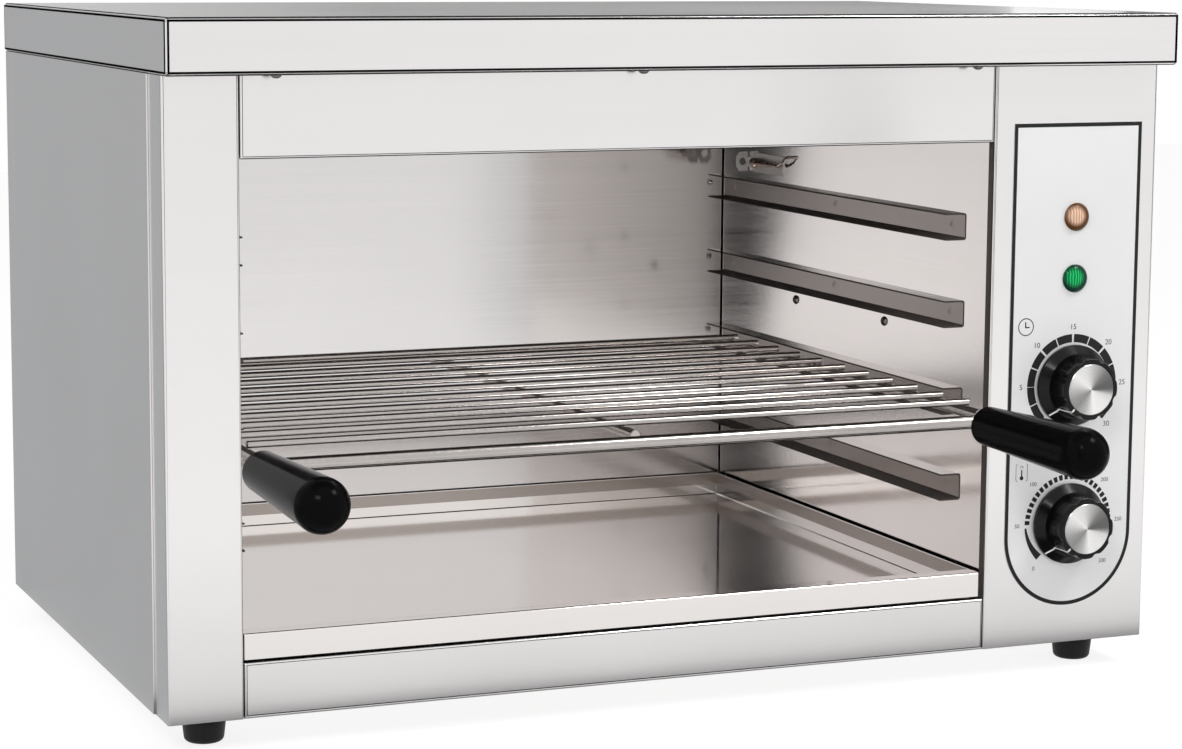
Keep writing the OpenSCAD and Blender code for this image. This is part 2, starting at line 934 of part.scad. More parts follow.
// Punched strips under the ceiling that carry the elements' legs
module element_hangers() {
    y0 = leg_y(1, -1) - element_r - hanger_rim;
    y1 = leg_y(3, 1) + element_r + hanger_rim;
    color(steel_dull)
        for (x = hanger_x)
            difference() {
                box([x, y0, element_z - element_r - hanger_rim], [x + hanger_t, y1, ceiling]);
                for (number = [1 : 3])
                    for (side = [-1, 1])
                        bar_x(x - cut_over, x + hanger_t + cut_over, leg_y(number, side), element_z,
                              element_r + seat_gap);
            }
}

// ---- Thermostat bulb, bracket and wiring --------------------------------------------

module thermostat_bulb() {
    duct_x = panel_edge + duct_gap;
    switch_y = y_front + sheet + switch_d / 2;
    switch_z = z_under + thermostat_z;
    color([0.60, 0.45, 0.32])
        union() {
            bar_y(bulb_x, bulb_y0, bulb_y1, bulb_z, bulb_r);
            translate([bulb_x, bulb_y1, bulb_z])
                sphere(r = bulb_r * 1.15);
            wire([
                [bulb_x, bulb_y0 + capillary_r, bulb_z],
                [bulb_x, capillary_y, capillary_z],
                [duct_x, capillary_y, capillary_z],
                [duct_x, switch_y, capillary_z],
                [duct_x, switch_y, switch_z],
                [control_x - switch_w / 2, switch_y, switch_z]
            ], capillary_r);
        }
}

// Clip plate on the wall, round at its rear end, with a folded tab behind the bulb
module bulb_bracket() {
    tab_y = clip_y1 + clip_neck;
    color(steel)
        difference() {
            union() {
                box([clip_face, clip_y0, bulb_z - clip_w / 2],
                    [chamber_right, clip_y1 - clip_w / 2, bulb_z + clip_w / 2]);
                bar_x(clip_face, chamber_right, clip_y1 - clip_w / 2, bulb_z, clip_w / 2);
                box([clip_face, clip_y1 - clip_w / 2, bulb_z - clip_w / 4],
                    [chamber_right, tab_y, bulb_z + clip_w / 4]);
                box([clip_face - tab_out, tab_y - sheet, bulb_z - clip_w / 2],
                    [chamber_right, tab_y, bulb_z + clip_w / 2]);
            }
            bar_y(clip_face - tab_hole_in, tab_y - 2 * sheet, tab_y + sheet, bulb_z, tab_hole_r);
        }
}

// Screws from the chamber through the right wall and the terminal bracket
module wall_screws() {
    color(steel_dull)
        for (y = wall_screw_y)
            translate([chamber_right, y, wall_screw_z]) {
                rotate([0, -90, 0])
                    pan_head(wall_screw_r, screw_head_h);
                translate([-join, 0, 0])
                    rotate([0, 90, 0])
                        cylinder(h = wall_screw_l, r = wall_screw_r / 2);
            }
}

// Angle on the outside of the right wall that carries the terminal block
module terminal_bracket() {
    y0 = wall_screw_y[0] - bracket_margin;
    y1 = wall_screw_y[1] + bracket_margin;
    color(steel_dull)
        difference() {
            union() {
                box([panel_edge, y0, bracket_z], [panel_edge + sheet, y1, bracket_z + bracket_h]);
                box([panel_edge, y0, bracket_z], [panel_edge + bracket_w, y1, bracket_z + sheet]);
            }
            for (y = wall_screw_y)
                bar_x(panel_edge - cut_over, panel_edge + 2 * sheet, y, wall_screw_z,
                      wall_screw_r / 2 + screw_gap);
        }
}

module terminal_block() {
    pitch = block_size[1] / block_ways;
    color([0.90, 0.88, 0.82])
        difference() {
            box([block_x, block_y, block_z],
                [block_x + block_size[0], block_y + block_size[1], block_z + block_size[2]]);
            for (i = [0 : block_ways - 1])
                for (x = [block_hole_inset, block_size[0] - block_hole_inset])
                    bar_z(block_x + x, block_y + (i + 0.5) * pitch, block_z + block_hole_floor,
                          block_z + block_size[2] + cut_over, block_hole_r);
        }
}

// Insulated wires between the terminal block, the switches, the lamps and the elements
module wiring() {
    upper_z = block_z + block_size[2] - cable_drop;
    lower_z = upper_z - cable_drop;
    block_mid = block_x + block_size[0] / 2;
    element_x = panel_edge + element_tail + terminal_l;
    element_turn = leg_y(3, 1) + cable_turn;
    switch_back = y_front + sheet + switch_d;
    timer_turn = switch_back + cable_turn;
    thermostat_turn = timer_turn + cable_turn;
    socket_back = y_front + sheet + socket_l;
    lamp_turn = socket_back + cable_turn;
    timer_mid = z_under + timer_z;
    timer_top = timer_mid + switch_w / 2;
    thermostat_mid = z_under + thermostat_z;
    rise_x = control_x + cable_side;
    rise_y = switch_back - cable_side;
    color([0.75, 0.20, 0.12])
        union() {
            wire([
                [block_mid, block_y, upper_z],
                [block_mid, timer_turn, upper_z],
                [control_x, timer_turn, timer_mid],
                [control_x, switch_back, timer_mid]
            ], cable_r);
            wire([
                [block_mid, block_y, lower_z],
                [block_mid, thermostat_turn, lower_z],
                [control_x, thermostat_turn, thermostat_mid],
                [control_x, switch_back, thermostat_mid]
            ], cable_r);
            wire([
                [block_mid, block_y + block_size[1], upper_z],
                [block_mid, element_turn, upper_z],
                [element_x + cable_drop, element_turn, element_z],
                [element_x + cable_drop, leg_y(3, 1), element_z],
                [element_x, leg_y(3, 1), element_z]
            ], cable_r);
            for (z = [amber_z, green_z])
                wire([
                    [control_x, socket_back, z_under + z],
                    [control_x, lamp_turn, z_under + z],
                    [rise_x + cable_sweep, lamp_turn, timer_top + cable_turn],
                    [rise_x, rise_y, timer_top + cable_drop],
                    [rise_x, rise_y, timer_top]
                ], cable_r);
        }
}

// Gland in the back panel, with its lock nut inside
module cable_gland() {
    thread_y = y_back - sheet - gland_nut_l - gland_thread_end;
    color(black_plastic)
        difference() {
            union() {
                bar_y(gland_x, y_back, y_back + gland_l - gland_collar_l, gland_z, gland_r);
                bar_y(gland_x, y_back + join, y_back + gland_l, gland_z, gland_r - gland_collar_step);
                bar_y(gland_x, thread_y, y_back + join, gland_z, gland_thread_r);
                translate([gland_x, y_back - sheet - gland_nut_l, gland_z])
                    rotate([-90, 0, 0])
                        cylinder(h = gland_nut_l, r = gland_r, $fn = 6);
            }
            bar_y(gland_x, thread_y - cut_over, y_back + gland_l + cut_over, gland_z, gland_bore_r);
        }
}

// ---- Controls -----------------------------------------------------------------------

// Front plate: square shoulders at the top and a half circle at the bottom
module control_plate() {
    top = z_top - plate_top;
    half = plate_w / 2;
    color(plate_white)
        translate([control_x, y_front, 0])
            rotate([90, 0, 0])
                linear_extrude(height = plate_t)
                    difference() {
                        union() {
                            rounded_rect([-half, plate_bottom_z - plate_corner_r], [half, top],
                                         plate_corner_r);
                            translate([0, plate_bottom_z])
                                circle(r = half);
                        }
                        for (z = [timer_z, thermostat_z])
                            translate([0, z_under + z])
                                circle(r = bush_r + screw_gap);
                        for (z = [amber_z, green_z])
                            translate([0, z_under + z])
                                circle(r = stem_r + screw_gap);
                    }
}

// Clockwork timer or thermostat behind the panel: a body, a bush and a bore for its shaft
module switch_body(z) {
    color([0.82, 0.80, 0.74])
        difference() {
            union() {
                box([control_x - switch_w / 2, y_front + sheet, z - switch_w / 2],
                    [control_x + switch_w / 2, y_front + sheet + switch_d, z + switch_w / 2]);
                bar_y(control_x, face_y, y_front + sheet + join, z, bush_r);
            }
            bar_y(control_x, face_y - cut_over, y_front + sheet + shaft_depth + seat_gap, z,
                  shaft_r + shaft_gap);
        }
}

module timer_switch() {
    switch_body(z_under + timer_z);
}

module thermostat_switch() {
    switch_body(z_under + thermostat_z);
}

module control_shaft(z) {
    color(steel_dull)
        bar_y(control_x, knob_back - knob_bore, y_front + sheet + shaft_depth, z, shaft_r);
}

module timer_shaft() {
    control_shaft(z_under + timer_z);
}

module thermostat_shaft() {
    control_shaft(z_under + thermostat_z);
}

// Knob: a flat skirt with a bevel, and a grip with shallow flutes between its lobes
module knob(z) {
    bevel_r = grip_r + knob_shoulder;
    flute_at = grip_r + flute_r - flute_cut;
    color(black_plastic)
        difference() {
            union() {
                turned_forward(control_x, knob_back, z)
                    polygon([
                        [0, 0], [skirt_r, 0], [skirt_r, skirt_edge],
                        [bevel_r, skirt_edge + skirt_bevel], [0, skirt_edge + skirt_bevel]
                    ]);
                translate([control_x, knob_back, z])
                    rotate([90, 0, 0])
                        linear_extrude(height = knob_h)
                            difference() {
                                circle(r = grip_r);
                                for (i = [0 : lobe_count - 1])
                                    rotate((i + 0.5) * 360 / lobe_count)
                                        translate([flute_at, 0])
                                            circle(r = flute_r);
                            }
            }
            bar_y(control_x, knob_back - knob_bore - seat_gap, knob_back + cut_over, z,
                  shaft_r + pin_gap);
            bar_y(control_x, knob_back - knob_h - cut_over, knob_back - knob_h + cap_recess, z,
                  cap_r + pin_gap);
        }
}

module timer_knob() {
    knob(z_under + timer_z);
}

module thermostat_knob() {
    knob(z_under + thermostat_z);
}

module knob_cap(z) {
    back = knob_back - knob_h + cap_recess;
    color(steel)
        bar_y(control_x, back - cap_t, back, z, cap_r);
}

module timer_knob_cap() {
    knob_cap(z_under + timer_z);
}

module thermostat_knob_cap() {
    knob_cap(z_under + thermostat_z);
}

// Lens: a low dome in front of the plate and a stem through the panel
module lens(z) {
    dome = (lens_r * lens_r + lens_proud * lens_proud) / (2 * lens_proud);
    bar_y(control_x, face_y - join, y_front + sheet + stem_l, z, stem_r);
    translate([control_x, face_y, z])
        rotate([90, 0, 0])
            intersection() {
                cylinder(h = lens_proud, r = lens_r);
                translate([0, 0, lens_proud - dome])
                    sphere(r = dome);
            }
}

module amber_lens() {
    color([0.85, 0.45, 0.20])
        lens(z_under + amber_z);
}

module green_lens() {
    color([0.05, 0.60, 0.30])
        lens(z_under + green_z);
}

module lamp_bezels() {
    color(steel_dull)
        for (z = [amber_z, green_z])
            difference() {
                bar_y(control_x, face_y - bezel_h, face_y, z_under + z, bezel_r);
                bar_y(control_x, face_y - bezel_h - cut_over, face_y + cut_over, z_under + z,
                      lens_r + pin_gap);
            }
}

module lamp_sockets() {
    y0 = y_front + sheet;
    color(black_plastic)
        for (z = [amber_z, green_z])
            difference() {
                bar_y(control_x, y0, y0 + socket_l, z_under + z, lens_r + 1);
                bar_y(control_x, y0 - cut_over, y0 + stem_l + seat_gap, z_under + z,
                      stem_r + pin_gap);
            }
}

// ---- Rack ---------------------------------------------------------------------------

// Welded wire rack: two side rods on tangs, a centre rod, a front and a rear bar between
// the side rods, and the cross wires on top of them
module rack() {
    wire_half = rod_x + wire_over;
    bar_half = rod_x - rod_r - weld_gap;
    color(steel_wire) {
        for (side = [-1, 1])
            union() {
                bar_y(slide_mid_x + side * rod_x, rack_y0, rack_y1, rod_z, rod_r);
                bar_y(slide_mid_x + side * rod_x, handle_y - tang_depth, tang_y, tang_z, rod_r);
            }
        bar_x(slide_mid_x - bar_half, slide_mid_x + bar_half, rear_bar_y, rod_z, rod_r);
        bar_x(slide_mid_x - bar_half, slide_mid_x + bar_half, front_bar_y, front_bar_z, front_bar_r);
        bar_y(slide_mid_x, centre_rod_y0, centre_rod_y1, centre_rod_z, centre_rod_r);
        for (i = [0 : wire_count - 1])
            bar_x(slide_mid_x - wire_half, slide_mid_x + wire_half,
                  wire_first + i * wire_pitch, wire_z, wire_r);
    }
}

// Handle on its own axis: a rounded rim, a long taper and a domed end
module handle(side) {
    straight = handle_l - handle_r;
    color(black_plastic)
        difference() {
            turned_forward(slide_mid_x + side * rod_x, handle_y, tang_z)
                intersection() {
                    union() {
                        polygon([
                            [0, handle_rim_r], [handle_rear_r, handle_rim_r],
                            [handle_r, straight], [0, straight]
                        ]);
                        translate([handle_rear_r - handle_rim_r, handle_rim_r])
                            circle(r = handle_rim_r);
                        square([handle_rear_r - handle_rim_r, straight]);
                        translate([0, straight])
                            circle(r = handle_r);
                    }
                    square([2 * handle_r, handle_l]);
                }
            bar_y(slide_mid_x + side * rod_x, handle_y - tang_depth - seat_gap, handle_y + cut_over,
                  tang_z, rod_r + pin_gap);
        }
}

module handle_left() {
    handle(-1);
}

module handle_right() {
    handle(1);
}

// ---- Crumb tray ---------------------------------------------------------------------

// Shallow tray with a flat front rim that turns down into a lip
module crumb_tray() {
    lip_z = floor_top + tray_lip_gap;
    lip_x0 = tray_x0 - tray_lip_over;
    lip_x1 = tray_x1 + tray_lip_over;
    color(steel)
        union() {
            difference() {
                box([tray_x0, tray_y0, tray_z], [tray_x1, tray_y1, tray_rim_z]);
                box([tray_x0 + sheet, tray_y0 + sheet, tray_z + sheet],
                    [tray_x1 - sheet, tray_y1 - sheet, tray_rim_z + cut_over]);
            }
            box([tray_x0, y_front, tray_rim_z - sheet], [tray_x1, tray_y0 + sheet, tray_rim_z]);
            box([lip_x0, y_front, lip_z], [lip_x1, y_front + sheet, tray_rim_z]);
            box([lip_x0, y_front, lip_z], [lip_x0 + sheet, y_front + tray_lip_return, tray_rim_z]);
            box([lip_x1 - sheet, y_front, lip_z], [lip_x1, y_front + tray_lip_return, tray_rim_z]);
        }
}

// ---- Assembly -----------------------------------------------------------------------

base_pan();
left_column();
control_panel();
left_side_panel();
right_side_panel();
back_panel();
rear_screws();
top_cover();
cover_screws();
top_fascia();
bottom_fascia();
foot_front_left();
foot_front_right();
foot_rear_left();
foot_rear_right();
foot_screws();
chamber_left_wall();
chamber_right_wall();
chamber_back_wall();
chamber_ceiling();
chamber_floor();
insulation_mat();
rail_left_1();
rail_left_2();
rail_left_3();
rail_left_4();
rail_right_1();
rail_right_2();
rail_right_3();
rail_right_4();
rail_rivets();
heating_element_1();
heating_element_2();
heating_element_3();
element_nuts();
element_hangers();
thermostat_bulb();
bulb_bracket();
wall_screws();
terminal_bracket();
terminal_block();
wiring();
cable_gland();
control_plate();
timer_switch();
thermostat_switch();
timer_shaft();
thermostat_shaft();
timer_knob();
timer_knob_cap();
thermostat_knob();
thermostat_knob_cap();
amber_lens();
green_lens();
lamp_bezels();
lamp_sockets();
rack();
handle_left();
handle_right();
crumb_tray();
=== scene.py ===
import functools
import itertools
import math

import bmesh
import bpy
from mathutils import Matrix, Vector


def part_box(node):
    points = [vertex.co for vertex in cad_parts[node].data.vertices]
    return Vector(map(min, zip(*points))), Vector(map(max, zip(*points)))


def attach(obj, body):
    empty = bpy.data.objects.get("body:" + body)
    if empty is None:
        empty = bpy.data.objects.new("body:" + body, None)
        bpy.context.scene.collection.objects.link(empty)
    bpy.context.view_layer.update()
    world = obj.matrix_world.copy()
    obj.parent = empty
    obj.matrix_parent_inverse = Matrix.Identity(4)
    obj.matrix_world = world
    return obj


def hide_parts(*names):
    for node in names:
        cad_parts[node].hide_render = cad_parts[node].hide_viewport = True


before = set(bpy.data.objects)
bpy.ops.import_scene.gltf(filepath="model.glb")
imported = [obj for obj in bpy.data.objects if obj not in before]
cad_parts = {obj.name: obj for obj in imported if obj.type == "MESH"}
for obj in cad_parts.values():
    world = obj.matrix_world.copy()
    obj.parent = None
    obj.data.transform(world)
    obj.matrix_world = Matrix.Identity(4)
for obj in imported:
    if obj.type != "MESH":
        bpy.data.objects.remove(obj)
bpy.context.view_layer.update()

# ---- Sizes in millimetres ----

MM = 0.001
SHEET = 1.0            # sheet metal
FLANGE = 15.0          # depth of the flanges folded back
BEND = 1.6             # outer radius of a fold
CUT_EDGE = 0.15        # rounding of a cut edge
INK = 0.04             # height of the print on the control plate
SMOOTH_ANGLE = 32.0    # degrees; sharper edges stay sharp


def corners(node):
    """Lowest and highest corner of a CAD node, in millimetres."""
    low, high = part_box(node)
    return Vector(low) / MM, Vector(high) / MM


def middle(node):
    low, high = corners(node)
    return (low + high) / 2


def oval(centre, radii, degrees):
    """Points on an ellipse about a centre, at the given angles."""
    return [(centre[0] + radii[0] * math.cos(a), centre[1] + radii[1] * math.sin(a))
            for a in map(math.radians, degrees)]


def circle(centre, radius, count):
    return oval(centre, (radius, radius), [360.0 * k / count for k in range(count)])


def link_object(name, data):
    item = bpy.data.objects.new(name, data)
    bpy.context.scene.collection.objects.link(item)
    return item


# ---- Camera ----

CAMERA_PLACE = (-0.68616, -1.60959, 0.42453)       # metres
YAW, PITCH, ROLL = 21.757, -7.558, 0.258           # degrees


def make_camera():
    """The photograph's camera, solved from the body's edges."""
    yaw, pitch, roll = map(math.radians, (YAW, PITCH, ROLL))
    forward = Vector((math.sin(yaw) * math.cos(pitch), math.cos(yaw) * math.cos(pitch), math.sin(pitch)))
    right = forward.cross(Vector((0, 0, 1))).normalized()
    up = right.cross(forward)
    across = math.cos(roll) * right + math.sin(roll) * up
    upward = math.cos(roll) * up - math.sin(roll) * right
    turn = Matrix((across, upward, -forward)).transposed()
    data = bpy.data.cameras.new("camera")
    data.sensor_width = 36.0
    data.lens = 90.05
    data.shift_x, data.shift_y = 0.0514, -0.0274
    data.clip_start = 0.05
    camera = link_object("camera", data)
    camera.matrix_world = Matrix.Translation(CAMERA_PLACE) @ turn.to_4x4()
    bpy.context.scene.camera = camera


# ---- Shader helpers ----

MATERIALS = {}


def new_material(name):
    """Node tree and main shader of a new material, kept under its name."""
    MATERIALS[name] = bpy.data.materials.new(name)
    MATERIALS[name].use_nodes = True
    tree = MATERIALS[name].node_tree
    return tree, tree.nodes["Principled BSDF"]


def feed(tree, target, inputs):
    """Sets a node's inputs, each to a value or to the socket that feeds it."""
    for key, value in inputs.items():
        if isinstance(value, bpy.types.NodeSocket):
            tree.links.new(value, target.inputs[key])
        else:
            target.inputs[key].default_value = value


def add(tree, kind, inputs, output=0, **settings):
    """Output of a new shader node."""
    made = tree.nodes.new("ShaderNode" + kind)
    for name, value in settings.items():
        setattr(made, name, value)
    feed(tree, made, inputs)
    return made.outputs[output]


def own_place(tree):
    """The piece's own coordinates."""
    return add(tree, "TexCoord", {}, "Object")


def noise(tree, scale, detail=3.0, roughness=0.5):
    """Noise in the piece's own coordinates, in features per metre: one number, or one for each of X, Y, Z."""
    scale = scale if isinstance(scale, tuple) else (scale,) * 3
    mapped = add(tree, "Mapping", {"Vector": own_place(tree), "Scale": scale})
    settings = {"Vector": mapped, "Scale": 1.0, "Detail": detail, "Roughness": roughness}
    return add(tree, "TexNoise", settings, "Fac")


def spread(tree, value, low, high, from_low=0.3, from_high=0.7):
    """The value, stretched from its usual range to low ... high."""
    return add(tree, "MapRange", {"Value": value, "From Min": from_low, "From Max": from_high,
                                  "To Min": low, "To Max": high})


def maths(tree, operation, a, b):
    return add(tree, "Math", {0: a, 1: b}, operation=operation)


def vector_maths(tree, operation, inputs, output="Vector"):
    return add(tree, "VectorMath", dict(enumerate(inputs)), output, operation=operation)


def mixed(tree, factor, first, second, blend="MIX"):
    """Colour between two others, each a tuple or a socket."""
    first, second = ((*c, 1.0) if isinstance(c, tuple) else c for c in (first, second))
    return add(tree, "Mix", {"Factor": factor, 6: first, 7: second}, 2, data_type="RGBA", blend_type=blend)


def toned(tree, value, first, second):
    """Colour that follows a noise from the first to the second."""
    return mixed(tree, spread(tree, value, 0.0, 1.0), first, second)


def worn(tree, grain, roughness, swing, cloud, low, high):
    """Roughness that follows the grain, with a cloud of wear added."""
    return maths(tree, "ADD", spread(tree, grain, roughness - swing, roughness + swing),
                 spread(tree, cloud, low, high))


def bump(tree, height, distance, strength):
    return add(tree, "Bump", {"Height": height, "Distance": distance, "Strength": strength})


def shade(colour, factor):
    return tuple(c * factor for c in colour)


def grey(value, warm=0.0):
    return (value * (1 + warm), value, value * (1 - warm))


# ---- Materials ----

STEEL = (0.80, 0.785, 0.78)
GRAIN_FINE, GRAIN_LONG = 1500.0, 9.0       # features per metre across and along the grain
STREAK_FINE, STREAK_LONG = 90.0, 2.5


def brushed_steel(name, colour=STEEL, roughness=0.16, grain="x", anisotropy=0.85, streak=0.015):
    """Sheet steel with a brushed grain along one axis, faint streaks and smudges."""
    tree, bsdf = new_material(name)
    along = [axis == grain for axis in "xyz"]
    fine = noise(tree, tuple(GRAIN_LONG if a else GRAIN_FINE for a in along), 2.0)
    broad = noise(tree, tuple(STREAK_LONG if a else STREAK_FINE for a in along))
    cloud = noise(tree, 7.0)
    mark = maths(tree, "ADD", maths(tree, "MULTIPLY", fine, 0.6), maths(tree, "MULTIPLY", broad, 0.4))
    tone = toned(tree, mark, shade(colour, 1.0 - streak), shade(colour, 1.0 + streak))
    normal = add(tree, "NewGeometry", {}, "Normal")
    brush = [1.0 if a else 0.03 * (i + 1) for i, a in enumerate(along)]
    feed(tree, bsdf, {
        "Base Color": mixed(tree, spread(tree, cloud, 0.0, 0.6), tone, shade(colour, 0.96)),
        "Roughness": worn(tree, mark, roughness, 0.02, cloud, -0.01, 0.02),
        "Metallic": 1.0, "Anisotropic": anisotropy,
        "Tangent": vector_maths(tree, "CROSS_PRODUCT", (normal, brush)),
        "Normal": bump(tree, fine, 0.00001, 0.12)})


def plain_metal(name, colour, roughness, speckle=0.05, relief=0.00002, metallic=1.0):
    """Metal with a fine even grain, for rods, screws, nuts and tubes."""
    tree, bsdf = new_material(name)
    grain, cloud = noise(tree, 400.0, 4.0), noise(tree, 25.0, 2.0)
    tone = toned(tree, grain, shade(colour, 1.0 - speckle), shade(colour, 1.0 + speckle))
    feed(tree, bsdf, {
        "Base Color": mixed(tree, spread(tree, cloud, 0.0, 0.5), tone, shade(colour, 0.85)),
        "Roughness": worn(tree, grain, roughness, 0.05, cloud, -0.03, 0.05),
        "Metallic": metallic, "Normal": bump(tree, grain, relief, 0.4)})


# Painted reflection on a turned face: pale and dark sectors of its sheen, as (share of a turn, tone)
PAINTED_REFLECTION_SECTORS = ((0.0, 0.58), (0.06, 0.38), (0.125, 0.32), (0.20, 0.55), (0.27, 0.98), (0.38, 0.98),
                (0.45, 0.80), (0.485, 0.30), (0.505, 0.16), (0.56, 0.16), (0.63, 0.24), (0.72, 0.55),
                (0.82, 0.88), (0.89, 1.0), (0.95, 0.80), (1.0, 0.58))


def spun_metal(name, colour, centre_mm):
    """Turned face: fine rings about the Y axis through the centre, with a radial tangent, and a painted
    reflection of pale and dark sectors multiplied into its colour.
    """
    tree, bsdf = new_material(name)
    place_on = vector_maths(tree, "SUBTRACT", (own_place(tree), [c * MM for c in centre_mm]))
    flat = vector_maths(tree, "MULTIPLY", (place_on, (1.0, 0.0, 1.0)))
    away = vector_maths(tree, "LENGTH", (flat,), "Value")
    ring = add(tree, "TexNoise", {"Scale": 3500.0, "W": away}, "Fac", noise_dimensions="1D")
    parts = tree.nodes.new("ShaderNodeSeparateXYZ")
    feed(tree, parts, {0: flat})
    upright = add(tree, "CombineXYZ", {"X": parts.outputs["X"], "Y": parts.outputs["Z"]})
    around = add(tree, "TexGradient", {"Vector": upright}, "Fac", gradient_type="RADIAL")
    # Painted reflection: the sectors' tones around the axis, multiplied into the colour
    ramp = tree.nodes.new("ShaderNodeValToRGB")
    feed(tree, ramp, {"Fac": around})
    stops = ramp.color_ramp.elements
    while len(stops) < len(PAINTED_REFLECTION_SECTORS):
        stops.new(0.5)
    for stop, (share, tone) in zip(stops, PAINTED_REFLECTION_SECTORS):
        stop.position = share
        stop.color = (tone, tone, tone, 1.0)
    rings = toned(tree, ring, shade(colour, 0.90), shade(colour, 1.05))
    feed(tree, bsdf, {
        "Base Color": mixed(tree, 1.0, rings, ramp.outputs["Color"], "MULTIPLY"),
        "Roughness": spread(tree, ring, 0.20, 0.30),
        "Tangent": add(tree, "VectorTransform", {"Vector": flat}, vector_type="VECTOR", convert_from="OBJECT",
                       convert_to="WORLD"),
        "Metallic": 1.0, "Anisotropic": 0.85, "Normal": bump(tree, ring, 0.00001, 0.3)})


def moulded(name, colour, roughness, ior=1.45, tone=0.25):
    """Plastic or rubber with a faint moulded grain and slight dust."""
    tree, bsdf = new_material(name)
    texture, cloud = noise(tree, 900.0), noise(tree, 30.0)
    feed(tree, bsdf, {
        "Base Color": toned(tree, cloud, colour, shade(colour, 1.0 + tone)),
        "Roughness": worn(tree, texture, roughness, 0.03, cloud, -0.02, 0.04),
        "IOR": ior, "Normal": bump(tree, texture, 0.00003, 0.3)})


def lens_plastic(name, core, glow, rim, centre, radius):
    """Tinted dome with painted light and shade: pale upright ribs at the middle painted as light through the
    lens, and a deep tint at the rim and along the lower edge painted as shade.
    """
    tree, bsdf = new_material(name)
    ribs = add(tree, "TexWave", {"Vector": own_place(tree), "Scale": 190.0, "Distortion": 2.5, "Detail": 1.0},
               "Fac", bands_direction="X")
    inside = mixed(tree, spread(tree, ribs, 0.0, 1.0, 0.3, 0.95), core, glow)
    # The pale middle is set off the lens's centre; the painted shade deepens away from it
    scale = 1.0 / (radius * MM)
    shift = (-centre.x / radius + 0.22, 0.0, -centre.z / radius - 0.10)
    place_on = vector_maths(tree, "MULTIPLY_ADD", (own_place(tree), (scale, 0.0, scale), shift))
    away = vector_maths(tree, "LENGTH", (place_on,), "Value")
    feed(tree, bsdf, {
        "Base Color": mixed(tree, spread(tree, away, 0.0, 1.0, 0.44, 0.78), inside, rim),
        "Roughness": spread(tree, noise(tree, 600.0, 2.0), 0.06, 0.12),
        "IOR": 1.25, "Normal": bump(tree, ribs, 0.0001, 0.1)})


def wool(name):
    tree, bsdf = new_material(name)
    fibre = noise(tree, (300.0, 900.0, 300.0), 6.0, 0.7)
    feed(tree, bsdf, {
        "Base Color": toned(tree, fibre, (0.62, 0.56, 0.40), (0.86, 0.80, 0.62)),
        "Roughness": spread(tree, fibre, 0.85, 1.0),
        "Sheen Weight": 0.3, "Normal": bump(tree, fibre, 0.0008, 0.6)})


def plate_film(name):
    """Printed film: pale grey with a satin surface."""
    tree, bsdf = new_material(name)
    fine = noise(tree, 2500.0, 2.0)
    feed(tree, bsdf, {
        "Base Color": toned(tree, noise(tree, 9.0), grey(0.74), grey(0.77)),
        "Roughness": spread(tree, fine, 0.38, 0.46),
        "Metallic": 0.25, "Normal": bump(tree, fine, 0.00001, 0.3)})


def make_materials():
    brushed_steel("panel_grain_x")
    brushed_steel("panel_grain_z", grain="z")
    # The chamber's steel in two copies: a darker one for the back wall and floor, and one paler than real
    # steel for the side walls, painted light
    brushed_steel("chamber_grain_x", (0.71, 0.69, 0.685), 0.115, "x", 0.5, 0.04)
    brushed_steel("chamber_grain_y_painted_light", (0.95, 0.91, 0.895), 0.07, "y", 0.5, 0.02)
    brushed_steel("tray_steel", (0.85, 0.815, 0.795), 0.08, "x", 0.4)
    # Dark copy of the tray steel for the hem: painted shade
    brushed_steel("tray_hem_steel", (0.42, 0.375, 0.35), 0.2, "y", 0.5)
    # Rail steel in a dark and a pale copy: painted shade and painted light
    brushed_steel("rail_steel", (0.33, 0.295, 0.28), 0.2, "y", 0.5)
    # Near-black: painted shade on the rails' edges and the control panel's inner flange
    moulded("edge_scale", (0.07, 0.06, 0.055), 0.55, 1.12)
    brushed_steel("rail_steel_open", (0.74, 0.71, 0.69), 0.12, "y", 0.5)
    plain_metal("plain_steel", (0.58, 0.57, 0.56), 0.38)
    plain_metal("fastener_steel", (0.66, 0.65, 0.64), 0.26)
    # Dark steel: painted shade on screw heads in shade, under the cover's edge and inside the chamber
    plain_metal("screw_steel_painted_shade", (0.20, 0.18, 0.17), 0.22)
    plain_metal("wire_steel", (0.48, 0.45, 0.43), 0.12)
    # Dark steel for the chamber's ceiling: painted shade over the rack
    plain_metal("ceiling_painted_shade", (0.20, 0.18, 0.17), 0.35)
    plain_metal("element_steel", (0.20, 0.18, 0.17), 0.5, 0.2)
    plain_metal("nut_brass", (0.78, 0.62, 0.32), 0.3)
    plain_metal("capillary_copper", (0.22, 0.17, 0.14), 0.25)
    plain_metal("clip_steel", (0.90, 0.86, 0.83), 0.45, 0.02, relief=0.000004, metallic=0.35)
    moulded("handle_black", grey(0.003), 0.14, 1.09)
    moulded("knob_black", grey(0.003), 0.17, 1.30)
    moulded("foot_rubber", grey(0.008), 0.5, 1.3)
    moulded("bezel_black", grey(0.008), 0.3)
    moulded("gland_black", grey(0.012), 0.45)
    moulded("switch_case", (0.55, 0.53, 0.48), 0.5)
    moulded("ceramic_white", (0.78, 0.76, 0.70), 0.3)
    moulded("wire_insulation", (0.45, 0.05, 0.03), 0.4)
    moulded("print_ink", grey(0.010), 0.4, 1.3)
    moulded("print_ink_fine", grey(0.02), 0.4, 1.3)
    moulded("pointer_white", (0.80, 0.80, 0.79), 0.4, tone=0.02)
    # Near-black: painted shade in the rivets' dimples
    moulded("recess_dark", grey(0.005), 0.5, 1.2)
    plate_film("plate_film")
    wool("insulation_wool")


# ---- Mesh helpers ----

PLANES = {"x": (1, 2, 0), "y": (0, 2, 1), "z": (0, 1, 2)}


